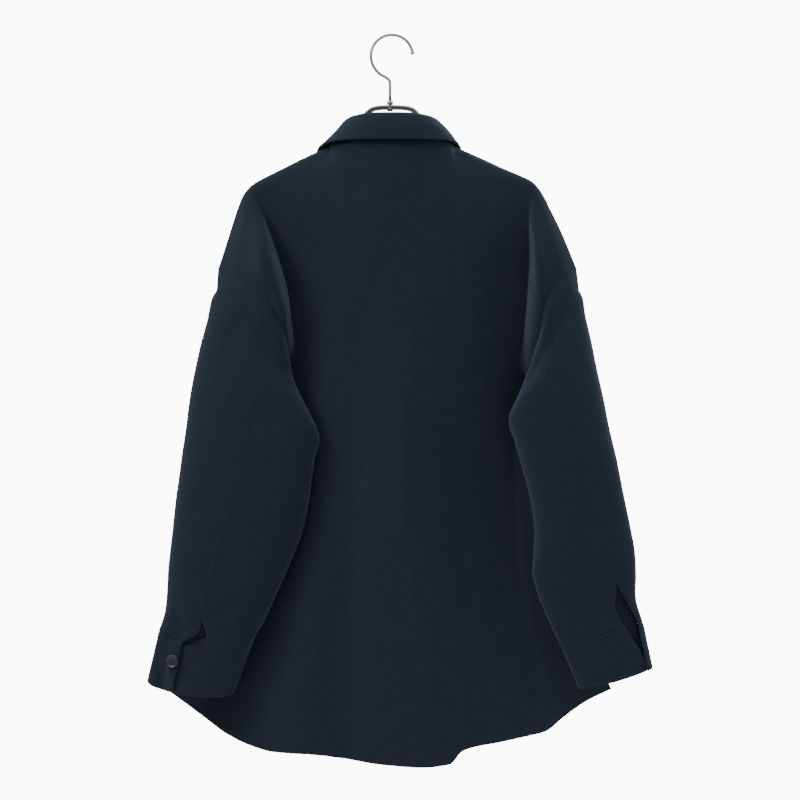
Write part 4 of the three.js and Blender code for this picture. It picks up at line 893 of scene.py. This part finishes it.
def sleeve_point(section, sign, degrees):
    # A point on a section, at an angle from its outer edge round the back of the arm.
    (outer_out, outer_up, outer_back, inner_out, inner_up, inner_back,
     depth_back, depth_front, depth_under, drop, upper_edge, under_edge, _, lift, sag, pinch) = section
    outer = np.array([sign * outer_out, outer_back, outer_up])
    inner = np.array([sign * inner_out, inner_back, inner_up])
    half = (outer - inner) / 2
    angle = np.radians(degrees)
    behind = 1 - smooth(np.cos(angle), -0.4, 0.1)
    front = depth_front + (depth_under - depth_front) * behind
    depth = np.where(np.sin(angle) > 0, depth_back, front)
    point = inner + half + half * np.cos(angle)[..., None]
    point[..., 1] += depth * np.sin(angle)
    point[..., 2] += drop * np.minimum(0, np.sin(angle)) - sag * np.maximum(0, np.sin(angle))
    from_pinch = np.mod(degrees - PINCH["at"] + 180, 360) - 180
    point[..., 1] -= pinch * np.exp(-(from_pinch / PINCH["spread"]) ** 2)
    way = half / np.linalg.norm(half) * np.cos(angle)[..., None]
    way[..., 1] += np.sin(angle)
    way /= np.linalg.norm(way, axis=-1, keepdims=True)
    lapped = (degrees - (upper_edge + under_edge) / 2) / 180 - 1
    return point + way * (lift * lapped)[..., None]


def sleeve_angle(section, column):
    # Where a line lies on a section: the under piece's lines come first, then the upper piece's.
    under_edge, underarm, upper_edge = section[UNDER_EDGE], section[UNDERARM], section[UPPER_EDGE] + 360
    under_share = (column - SEAM_COLUMN) / (ARMHOLE_ROWS - SEAM_COLUMN)
    upper_share = (column - ARMHOLE_ROWS) / (SEAM_COLUMN + RING - ARMHOLE_ROWS)
    under = under_edge + (underarm - under_edge) * under_share
    upper = underarm + (upper_edge - underarm) * upper_share
    return np.where(column <= ARMHOLE_ROWS, under, upper)


def armhole_point(sign, column):
    # Where a line of the sleeve meets the armhole seam.
    turn = np.mod(column, RING)
    back_side = read_side(BACK_ARMHOLE[sign], np.clip(turn / ARMHOLE_ROWS, 0, 1), sign)
    front_side = read_side(FRONT_ARMHOLE[sign], np.clip(2 - turn / ARMHOLE_ROWS, 0, 1), sign)
    return np.where((turn <= ARMHOLE_ROWS)[..., None], back_side, front_side)


def sleeve_middle(sign, columns, steps):
    first = SLEEVE[sign][0]
    armhole = armhole_point(sign, columns)
    top = sleeve_point(first, sign, sleeve_angle(first, columns))
    head = armhole + (top - armhole) * SLEEVE_HEAD["share"]
    turn = 2 * math.pi * columns / RING
    head[:, 1] += SLEEVE_HEAD["roll"] * np.sin(turn)
    head[:, 2] -= SLEEVE_HEAD["sag"] * np.sin(turn / 2) ** 4
    rows = [armhole, head] + [sleeve_point(s, sign, sleeve_angle(s, columns)) for s in SLEEVE[sign][:-1]]
    line = through(np.array(rows).reshape(len(rows), -1), steps)
    return line.reshape(len(line), -1, 3)


# Creases on the sleeves: from x, up, to x, up, width, depth, and 1 for the back of the arm or -1 for
# its front.
SLEEVE_CREASES = {1: [
    (190, -372, 222, -440, 10, -2.0, 1),
    (150, -400, 128, -470, 9, -2.6, 1),
    (132, -486, 176, -540, 10, -2.6, 1),
    (108, -520, 150, -500, 9, -2.2, 1),
    (150, -560, 190, -640, 16, -1.6, 1),
    (246, -420, 262, -560, 16, 1.2, 1),
    (200, -690, 260, -740, 14, -1.8, 1),
    (190, -760, 250, -790, 10, -1.6, 1),
    (230, -600, 268, -660, 13, -1.4, 1),
    (230, -400, 215, -520, 14, -1.6, -1),
    (250, -560, 220, -640, 16, -1.5, -1),
    (270, -650, 240, -720, 14, -1.5, -1),
], -1: [
    (-206, -400, -190, -480, 9, -2.2, 1),
    (-176, -500, -214, -560, 11, -2.2, 1),
    (-240, -330, -243, -520, 11, 1.6, 1),
    (-206, -610, -248, -680, 15, -1.8, 1),
    (-214, -740, -270, -770, 11, -1.8, 1),
    (-262, -560, -292, -650, 13, -1.3, 1),
    (-226, -440, -246, -540, 13, -1.2, 1),
    (-236, -400, -222, -520, 14, -1.6, -1),
    (-262, -560, -236, -650, 16, -1.5, -1),
    (-290, -660, -258, -730, 13, -1.4, -1),
]}


# Where the cloth turns away from the back or the front, its creases fade between these.
FACING = (-0.05, 0.35)


def crease_cloth(points, flip, creases):
    normal = normals_of(points, flip)
    down, across = lengths(points), lengths(points.transpose(1, 0, 2)).T
    edge = np.min([down, down[-1] - down, across, across[:, -1:] - across], axis=0)
    rise = 0 * points[..., 0]
    for *line, face in creases:
        rise += crease_rise([line], points[..., 0], points[..., 2]) * smooth(face * normal[..., 1], *FACING)
    return points + normal * (rise * smooth(edge, 0, 10))[..., None]


SLEEVE_STEPS = 6
LINES_PER_COLUMN = 5
# Sleeve pieces: name, first and last line round the arm, flat size in metres, area in square metres.
SLEEVE_CUTS = {1: [("under", SEAM_COLUMN, ARMHOLE_ROWS, (0.16, 0.52), 0.06),
                   ("upper", ARMHOLE_ROWS, SEAM_COLUMN + RING, (0.25, 0.56), 0.107)],
               -1: [("under", SEAM_COLUMN, ARMHOLE_ROWS, (0.14, 0.47), 0.048),
                    ("upper", ARMHOLE_ROWS, SEAM_COLUMN + RING, (0.22, 0.52), 0.083)]}
for sign, side in ((1, "left"), (-1, "right")):
    for part, first, last, flat, area in SLEEVE_CUTS[sign]:
        columns = np.linspace(first, last, (last - first) * LINES_PER_COLUMN + 1)
        middle = crease_cloth(sleeve_middle(sign, columns, SLEEVE_STEPS), sign < 0, SLEEVE_CREASES[sign])
        made = cloth(f"sleeve_{part}_wool_{side}", middle, sign < 0, ("seam",) * 4,
                     seed=7 + sign + last)["piece"]
        dress(made, "wool", f"sleeve_{part}_{side}")


# A narrow strip of the same cloth is sewn in under the slit above each cuff and shows, in shadow, where
# the slit gapes. Its first and last section, the degrees it reaches past the upper and the under
# piece's edges, its flat size and its area:
SLIT_FACINGS = {1: (9.6, 12.4, -16, 16, (0.045, 0.1), 0.0038),
                -1: (9.6, 12.8, -26, 18, (0.05, 0.12), 0.0048)}
FACING_CLOTH = 1.4
FACING_UNDER = 5.6
# The slit is taken to be at least this many degrees wide.
SLIT_LEAST = 12


def section_at(sign, at):
    # A section between two rows of the table.
    sections = np.array(SLEEVE[sign])
    before = int(min(at, len(sections) - 2))
    return sections[before] + (sections[before + 1] - sections[before]) * (at - before)


for sign, side in ((1, "left"), (-1, "right")):
    first, last, past_upper, past_under, flat, area = SLIT_FACINGS[sign]
    rows = []
    for at in np.linspace(first, last, 22):
        section = section_at(sign, at)
        section[LIFT] = 0.0
        from_upper = section[UPPER_EDGE] + past_upper
        to_under = max(section[UNDER_EDGE], section[UPPER_EDGE] + SLIT_LEAST) + past_under
        rows.append(sleeve_point(section, sign, np.linspace(from_upper, to_under, 24)))
    middle = np.array(rows)
    middle -= normals_of(middle, sign < 0) * FACING_UNDER
    strip = cloth(f"slit_facing_{side}", middle, sign < 0, ("seam", "seam", "hem", "hem"),
                  thickness=FACING_CLOTH, seed=31 + sign, hem_width=5.0, double=0.0)["piece"]
    dress(strip, "wool")


# The cuffs are straight bands of the same cloth, sewn to the sleeve's end and lapped at the outer edge
# of the wrist, where one button holds them closed. The lapped end stands up a little along its edge.
CUFF_CREASES = {1: [
    (286, -806, 296, -880, 7, 4.0, 1),
    (303, -800, 312, -872, 7, -4.0, 1),
    (262, -838, 236, -884, 16, 1.6, 1),
    (228, -850, 236, -882, 10, -1.4, 1),
], -1: [
    (-330, -790, -344, -862, 8, 3.0, 1),
    (-300, -820, -286, -870, 16, 1.6, 1),
    (-262, -822, -270, -868, 12, -1.4, 1),
]}
cuffs = {}
for sign, side in ((1, "left"), (-1, "right")):
    top, bottom = np.array(SLEEVE[sign][-2]), np.array(SLEEVE[sign][-1])
    columns = np.linspace(SEAM_COLUMN, SEAM_COLUMN + RING, 161)
    rows = []
    for share in np.linspace(0, 1, 21):
        section = top + (bottom - top) * share
        rows.append(sleeve_point(section, sign, sleeve_angle(section, columns)))
    rows = np.array(rows)
    normal = normals_of(rows, sign < 0)
    fade = smooth(lengths(rows), 0, 10)[..., None]
    for *line, face in CUFF_CREASES[sign]:
        shown = smooth(face * normal[..., 1], *FACING)
        rows = rows + (0, 1, 0) * (crease_rise([line], rows[..., 0], rows[..., 2]) * shown)[..., None] * fade
    cuffs[sign] = cloth(f"cuff_wool_{side}", rows, sign < 0, ("seam", "hem", "hem", "hem"), seed=12 + sign,
                        hem_width=6.5, double=0.3)
    dress(cuffs[sign]["piece"], "wool", f"cuff_{side}")


# The collar is a stand sewn into the neck and a fall that folds down over it, both of doubled cloth
# with a lining between, so they are stiffer and thicker. The fall's edge is stitched near its rim.
COLLAR_CLOTH = 2.6
# The fold at the top of the stand, numbered like the neck seam.
COLLAR_FOLD = [
    (0, 0, 38, -111.5),
    (0.1, 9, 37.8, -111.5),
    (0.35, 27, 34, -112),
    (0.7, 50, 20, -114.5),
    (1, 62, -1, -121),
    (1.25, 59, -19, -132),
    (1.5, 49, -35, -150),
    (1.75, 28, -46, -169),
    (2, 0, -50, -179),
    (2.25, -17, -49.5, -178.5),
]
# The outer edge of the collar, from centre back to the collar's point.
COLLAR_EDGE = [
    (0, 0, 52, -142),
    (0.1, 10, 51.9, -142),
    (0.35, 38, 47, -142),
    (0.7, 72, 31, -142),
    (1, 92.5, 4, -147),
    (1.25, 99, -24, -165),
    (1.5, 88, -50, -190),
    (1.75, 72, -68, -222),
    (2, 50, -76, -244),
]
# How the collar rolls over its fold: steps along the stand, outwards and up; then shares of the way
# to the edge, with a bow outwards.
COLLAR_ROLL = [(0, 0, 0), (3, 0.6, 0), (0, 3.5, 5), (0, 8, 2)]
COLLAR_FALL = [(0.33, 2), (0.67, 1.6), (1, 0)]
# How each side lies: the width of its fold and of its outer edge, how its bow turns, and how far its
# edge drops over the shoulder.
COLLAR_LIE = {1: {"fold": 0.94, "edge": 1.05, "bow": -0.6, "drop": 3},
              -1: {"fold": 0.94, "edge": 0.97, "bow": 1, "drop": 0}}
STAND_END = 2.25
FALL_END = 2.0
COLLAR_PLACES = 46


def collar_line(end):
    # Places round the neck from the right end to the left one, as side and distance from centre back.
    half = np.linspace(0, end, COLLAR_PLACES)
    return [(-1, at) for at in half[::-1]] + [(1, at) for at in half[1:]]


def fold_point(sign, at):
    return neck(COLLAR_FOLD, sign, at) * (COLLAR_LIE[sign]["fold"], 1, 1)


def stand_middle():
    places = collar_line(STAND_END)
    seam = np.array([neck(NECK_SEAM, sign, at) for sign, at in places])
    fold = np.array([fold_point(sign, at) for sign, at in places])
    return np.array([fold + (seam - fold) * share for share in np.linspace(0, 1, 9)])


def fall_middle():
    places = collar_line(FALL_END)
    fold = np.array([fold_point(sign, at) for sign, at in places])
    seam = np.array([neck(NECK_SEAM, sign, at) for sign, at in places])
    edge = np.array([read_side(COLLAR_EDGE, at, sign) * (COLLAR_LIE[sign]["edge"], 1, 1)
                     for sign, at in places])
    edge[:, 2] -= [COLLAR_LIE[sign]["drop"] * math.exp(-((at - 1) / 0.3) ** 2) for sign, at in places]
    bowed = np.array([1 + (COLLAR_LIE[sign]["bow"] - 1) * smooth(at, 0.3, 1) for sign, at in places])[:, None]
    along = (fold - seam) / np.linalg.norm(fold - seam, axis=1)[:, None]
    out = np.zeros_like(fold)
    for k, (sign, at) in enumerate(places):
        ahead = fold_point(sign, min(2, at + 0.02)) - fold_point(sign, max(0, at - 0.02))
        way = np.cross(ahead, (0, 0, 1))
        way[2] = 0
        way /= max(np.linalg.norm(way), 1e-9)
        out[k] = way if way @ (fold[k] + (0, 10, 0)) > 0 else -way
        if at == 0:
            out[k] = (0, 1, 0)
    rows = [fold + along * a + out * o + np.array([0, 0, u]) for a, o, u in COLLAR_ROLL]
    rows += [rows[3] + (edge - rows[3]) * share + out * bowed * bow for share, bow in COLLAR_FALL]
    line = through(np.array(rows).reshape(len(rows), -1), 5)
    return line.reshape(len(line), -1, 3)


stand = cloth("collar_stand_wool", stand_middle(), True, ("seam", "seam", "hem", "hem"),
              thickness=COLLAR_CLOTH, seed=21, hem_width=5.0, double=0.0)
dress(stand["piece"], "wool", "collar_stand")
fall = cloth("collar_fall_wool", fall_middle(), True, ("seam", "hem", "hem", "hem"),
             thickness=COLLAR_CLOTH, seed=22, hem_width=6.5, double=0.3)
dress(fall["piece"], "wool", "collar_fall")


# The buttons are turned from dark resin, 18 mm across, with a rim, a dished face and four holes, and
# are sewn on with two bars of thread. Six close the front, one the collar stand and one each cuff.
BUTTON_RADIUS = 9
# A button's section: radius, height; from the middle of its back round the rim to its dished face.
BUTTON_PROFILE = [(0.01, 0), (7.4, 0), (8.3, 0.35), (8.85, 1.0), (9, 1.7), (8.8, 2.6), (8.3, 3.1), (7.9, 3.2),
                  (7.4, 3.1), (7, 2.8), (6.4, 2.55), (5, 2.45), (2.5, 2.4), (0.01, 2.4)]
BUTTON_SIDES = 48
# The button stands a little off the highest point of the cloth under it.
BUTTON_STAND = 0.3
HOLE_FROM_MIDDLE = 1.6
HOLE_RADIUS = 0.85
THREAD_RADIUS = 0.32
# Half of a bar of thread's path, from inside its hole to its middle: from the middle, height.
THREAD_HALF = [(HOLE_FROM_MIDDLE, 1.2), (HOLE_FROM_MIDDLE - 0.15, 2.3), (1, 2.75), (0, 2.85)]


def turned_resin():
    # Cast polyester resin, turned and tumbled: near black, with cloudy streaks like horn and a satin
    # gloss.
    made, tree = new_material("turned_dark_resin")
    cloud = grain(tree, 120.0, Detail=5.0, Distortion=1.2)
    finish_material(tree, {"Base Color": blend(tree, cloud, "#0f1013", "#2c3036"),
                           "Roughness": between(tree, cloud, 0.2, 0.36), "IOR": 1.55})
    return made


def sewing_thread():
    # Spun polyester thread, matt, dyed a little lighter than the cloth.
    made, tree = new_material("sewing_thread")
    ply = grain(tree, 2600.0, Detail=2.0)
    finish_material(tree, {"Base Color": blend(tree, ply, "#161b22", "#2b323c"), "Roughness": 0.8,
                           "IOR": 1.5})
    return made


resin = turned_resin()
thread = sewing_thread()


def pierced_button():
    # One button's mesh, its four holes cut through.
    blank = outwards(lathe("button_blank", BUTTON_PROFILE, BUTTON_SIDES, resin))
    for x in (-HOLE_FROM_MIDDLE, HOLE_FROM_MIDDLE):
        for y in (-HOLE_FROM_MIDDLE, HOLE_FROM_MIDDLE):
            drill = outwards(shift(lathe("drill", [(HOLE_RADIUS, -1), (HOLE_RADIUS, 4)], 16, resin), x, y, 0))
            cut = blank.modifiers.new("hole", "BOOLEAN")
            cut.object = drill
            cut.solver = "EXACT"
            made = bpy.data.meshes.new_from_object(blank.evaluated_get(bpy.context.evaluated_depsgraph_get()))
            blank.modifiers.clear()
            blank.data = made
            bpy.data.objects.remove(drill)
    mesh = blank.data
    bpy.data.objects.remove(blank)
    return mesh


button_mesh = pierced_button()


def sewing_bars():
    # Two bars of thread, each from hole to hole.
    points, faces = [], []
    for y in (-HOLE_FROM_MIDDLE, HOLE_FROM_MIDDLE):
        for ply in (-0.3, 0.3):
            path = [(-out, 0, up) for out, up in THREAD_HALF]
            path += [(out, 0, up) for out, up in reversed(THREAD_HALF[:-1])]
            made, quads = sweep(path, ring(THREAD_RADIUS, 8))
            start = sum(len(p) for p in points)
            faces += [tuple(start + i for i in face) for face in quads]
            points.append(made + (0, y + ply, 0))
    return np.concatenate(points), faces


def seat_button(node, cloth_piece):
    # A button lies on the highest point of the cloth under it, its back square to the cloth there.
    low, high = np.array(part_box(node)) * 1000
    outer, normal = cloth_piece["outer"].reshape(-1, 3), cloth_piece["normal"].reshape(-1, 3)
    nearest = outer[np.argmin(np.linalg.norm(outer - (low + high) / 2, axis=1))]
    away = np.linalg.norm(outer - nearest, axis=1)
    facing = normal[away < BUTTON_RADIUS * 2 / 3].mean(axis=0)
    facing /= np.linalg.norm(facing)
    highest = ((outer[away < BUTTON_RADIUS] - nearest) @ facing).max()
    seat = nearest + facing * (highest + BUTTON_STAND)
    turn = Vector(facing).to_track_quat("Z", "X")
    button = bpy.data.objects.new(node + "_resin", button_mesh.copy())
    bars = make_piece(node + "_thread", *sewing_bars(), thread)
    outwards(bars)
    bpy.context.scene.collection.objects.link(button)
    for piece in (button, bars):
        for vertex in piece.data.vertices:
            vertex.co = (turn @ (vertex.co * 1000) + Vector(seat)) / 1000
    dress(button, "button", node)
    dress(bars, "wool")
    button.data.polygons.foreach_set("use_smooth", [False] * len(button.data.polygons))


for number in range(1, 7):
    seat_button(f"button_front_{number}", fronts[1])
seat_button("button_collar", stand)
seat_button("button_cuff_left", cuffs[1])
seat_button("button_cuff_right", cuffs[-1])


# The hems, the front edges, the collar and the cuffs are topstitched with a lockstitch of about 3 mm.
# Each stitch is a short length of thread that sinks into the cloth at both ends.
STITCH_PITCH = 3.4
STITCH_LENGTH = 2.7
STITCH_RADIUS = 0.36
# How far the lines of stitches lie from the edge that they hold.
HEM_STITCH = 8.5
PLACKET_STITCH = 32
COLLAR_STITCH = 5
CUFF_STITCH = 5
JOIN_STITCH = 2.4


def stitch_tree():
    # Beads of thread at even steps along a line, each a little uneven in length.
    tree = bpy.data.node_groups.new("lockstitch", "GeometryNodeTree")
    tree.interface.new_socket("Line", in_out="INPUT", socket_type="NodeSocketGeometry")
    for name in ("Pitch", "Length", "Radius"):
        tree.interface.new_socket(name, in_out="INPUT", socket_type="NodeSocketFloat")
    tree.interface.new_socket("Thread", in_out="INPUT", socket_type="NodeSocketMaterial")
    tree.interface.new_socket("Stitches", in_out="OUTPUT", socket_type="NodeSocketGeometry")
    given = tree.nodes.new("NodeGroupInput").outputs
    line = add(tree, "GeometryNodeMeshToCurve", {"Mesh": given["Line"]})
    even = add(tree, "GeometryNodeResampleCurve", {"Curve": line.outputs[0], "Length": given["Pitch"]},
               mode="LENGTH")
    along = add(tree, "FunctionNodeAlignRotationToVector",
                {"Vector": add(tree, "GeometryNodeInputTangent").outputs[0]}, axis="X")
    uneven = add(tree, "FunctionNodeRandomValue", {2: 0.86, 3: 1.0, "Seed": 7}, data_type="FLOAT")
    half = add(tree, "ShaderNodeMath", {0: given["Length"], 1: 0.5}, operation="MULTIPLY")
    reach = add(tree, "ShaderNodeMath", {0: half.outputs[0], 1: uneven.outputs[1]}, operation="MULTIPLY")
    size = add(tree, "ShaderNodeCombineXYZ",
               {"X": reach.outputs[0], "Y": given["Radius"], "Z": given["Radius"]})
    bead = add(tree, "GeometryNodeMeshIcoSphere", {"Radius": 1.0, "Subdivisions": 2})
    placed = add(tree, "GeometryNodeInstanceOnPoints", {
        "Points": even.outputs[0], "Instance": bead.outputs[0], "Rotation": along.outputs[0],
        "Scale": size.outputs[0]})
    made = add(tree, "GeometryNodeRealizeInstances", {"Geometry": placed.outputs[0]})
    dyed = add(tree, "GeometryNodeSetMaterial", {"Geometry": made.outputs[0], "Material": given["Thread"]})
    result = tree.nodes.new("NodeGroupOutput")
    tree.links.new(dyed.outputs[0], result.inputs[0])
    return tree


# The edges of a piece of cloth, in the order that cloth() takes them.
TOP, BOTTOM, START, END = range(4)


def seam_line(made, edge, inset, trim=0):
    # The line on a piece's outer face at an inset from one edge, cut short at both ends.
    points = made["outer"] if edge in (TOP, BOTTOM) else made["outer"].transpose(1, 0, 2)
    points = points[::-1] if edge in (BOTTOM, END) else points
    line = at_distance(points, lengths(points), inset)
    gone = np.concatenate([[0], np.cumsum(np.linalg.norm(np.diff(line, axis=0), axis=1))])
    return line[(gone >= trim) & (gone <= gone[-1] - trim)]


def topstitch(name, lines):
    points, edges = [], []
    for line in lines:
        start = len(points)
        points += [tuple(point / 1000) for point in line]
        edges += [(k, k + 1) for k in range(start, len(points) - 1)]
    guide = bpy.data.objects.new(name + "_guide", bpy.data.meshes.new(name + "_guide"))
    guide.data.from_pydata(points, edges, [])
    bpy.context.scene.collection.objects.link(guide)
    tree = stitch_tree()
    sewn = guide.modifiers.new("lockstitch", "NODES")
    sewn.node_group = tree
    values = {"Pitch": STITCH_PITCH / 1000, "Length": STITCH_LENGTH / 1000, "Radius": STITCH_RADIUS / 1000,
              "Thread": thread}
    for socket in tree.interface.items_tree:
        if socket.name in values:
            sewn[socket.identifier] = values[socket.name]
    made = bpy.data.meshes.new_from_object(guide.evaluated_get(bpy.context.evaluated_depsgraph_get()))
    bpy.data.objects.remove(guide)
    piece = bpy.data.objects.new(name, made)
    bpy.context.scene.collection.objects.link(piece)
    return dress(piece, "wool")


topstitch("stitches_hem", [seam_line(made, BOTTOM, HEM_STITCH, trim) for made, trim in
                           ((back, 3), (fronts[1], 6), (fronts[-1], 6))])
topstitch("stitches_front_edges", [seam_line(fronts[sign], END, inset, 6) for sign, inset in
                                   ((1, HEM_STITCH), (1, PLACKET_STITCH), (-1, HEM_STITCH))])
topstitch("stitches_collar", [seam_line(fall, edge, COLLAR_STITCH, 5) for edge in (BOTTOM, START, END)]
          + [seam_line(stand, BOTTOM, JOIN_STITCH, 3)])
for sign, side in ((1, "left"), (-1, "right")):
    topstitch(f"stitches_cuff_{side}",
              [seam_line(cuffs[sign], BOTTOM, CUFF_STITCH, 5), seam_line(cuffs[sign], TOP, JOIN_STITCH, 3)]
              + [seam_line(cuffs[sign], edge, CUFF_STITCH, 5) for edge in (END, START)])


# The floor is a plain pale disc under the hanging jacket, and the light is soft studio light: a broad
# key high on the left of the picture, a weaker one on the right and an even white surround.
FLOOR_RADIUS = 1500
FLOOR_UP = -1350
FLOOR_SIDES = 96


def plain_paper():
    # Uncoated white paper: matt and very slightly mottled.
    made, tree = new_material("pale_paper_floor")
    mottle = grain(tree, 3.0)
    finish_material(tree, {"Base Color": blend(tree, mottle, "#f6f6f6", "#ffffff"), "Roughness": 0.9})
    return made


disc = np.column_stack([ring(FLOOR_RADIUS, FLOOR_SIDES), np.full(FLOOR_SIDES, FLOOR_UP)])
floor = make_piece("floor", disc, [tuple(range(FLOOR_SIDES))], plain_paper())

# Seen directly, the surround is pure white paper; what it casts on the cloth is dim and cool.
PAPER_STRENGTH = 11.0
SURROUND_STRENGTH = 0.45
world = bpy.data.worlds.new("white_studio")
world.use_nodes = True
world.node_tree.nodes.clear()
seen = add(world.node_tree, "ShaderNodeLightPath")
paper = add(world.node_tree, "ShaderNodeBackground", {"Color": (1, 1, 1, 1), "Strength": PAPER_STRENGTH})
surround = add(world.node_tree, "ShaderNodeBackground",
               {"Color": (0.86, 0.93, 1, 1), "Strength": SURROUND_STRENGTH})
both = add(world.node_tree, "ShaderNodeMixShader",
           {0: seen.outputs["Is Camera Ray"], 1: surround.outputs[0], 2: paper.outputs[0]})
add(world.node_tree, "ShaderNodeOutputWorld", {"Surface": both.outputs[0]})
bpy.context.scene.world = world

# Soft lamps: name, place, aim, size, watts, colour.
LIGHTS = [
    ("key", (2.3, 1.5, 1.3), (0, 0, -0.5), 1.1, 62, (1, 0.99, 0.96)),
    ("top", (0.1, 1.2, 1.9), (0, 0, -0.25), 1.5, 34, (0.86, 0.93, 1)),
    ("rim", (-2.6, 0.2, 0.1), (0, 0, -0.5), 1.2, 20, (0.94, 0.97, 1)),
    ("front_key", (-1.9, -2.4, 1.2), (0, 0, -0.45), 1.3, 60, (1, 1, 1)),
]
for name, place, aim, size, watts, colour in LIGHTS:
    lamp = bpy.data.lights.new(name, "AREA")
    lamp.size = size
    lamp.energy = watts
    lamp.color = colour
    lamp_object = bpy.data.objects.new(name, lamp)
    lamp_object.location = place
    lamp_object.rotation_euler = (Vector(aim) - Vector(place)).to_track_quat("-Z", "Y").to_euler()
    bpy.context.scene.collection.objects.link(lamp_object)
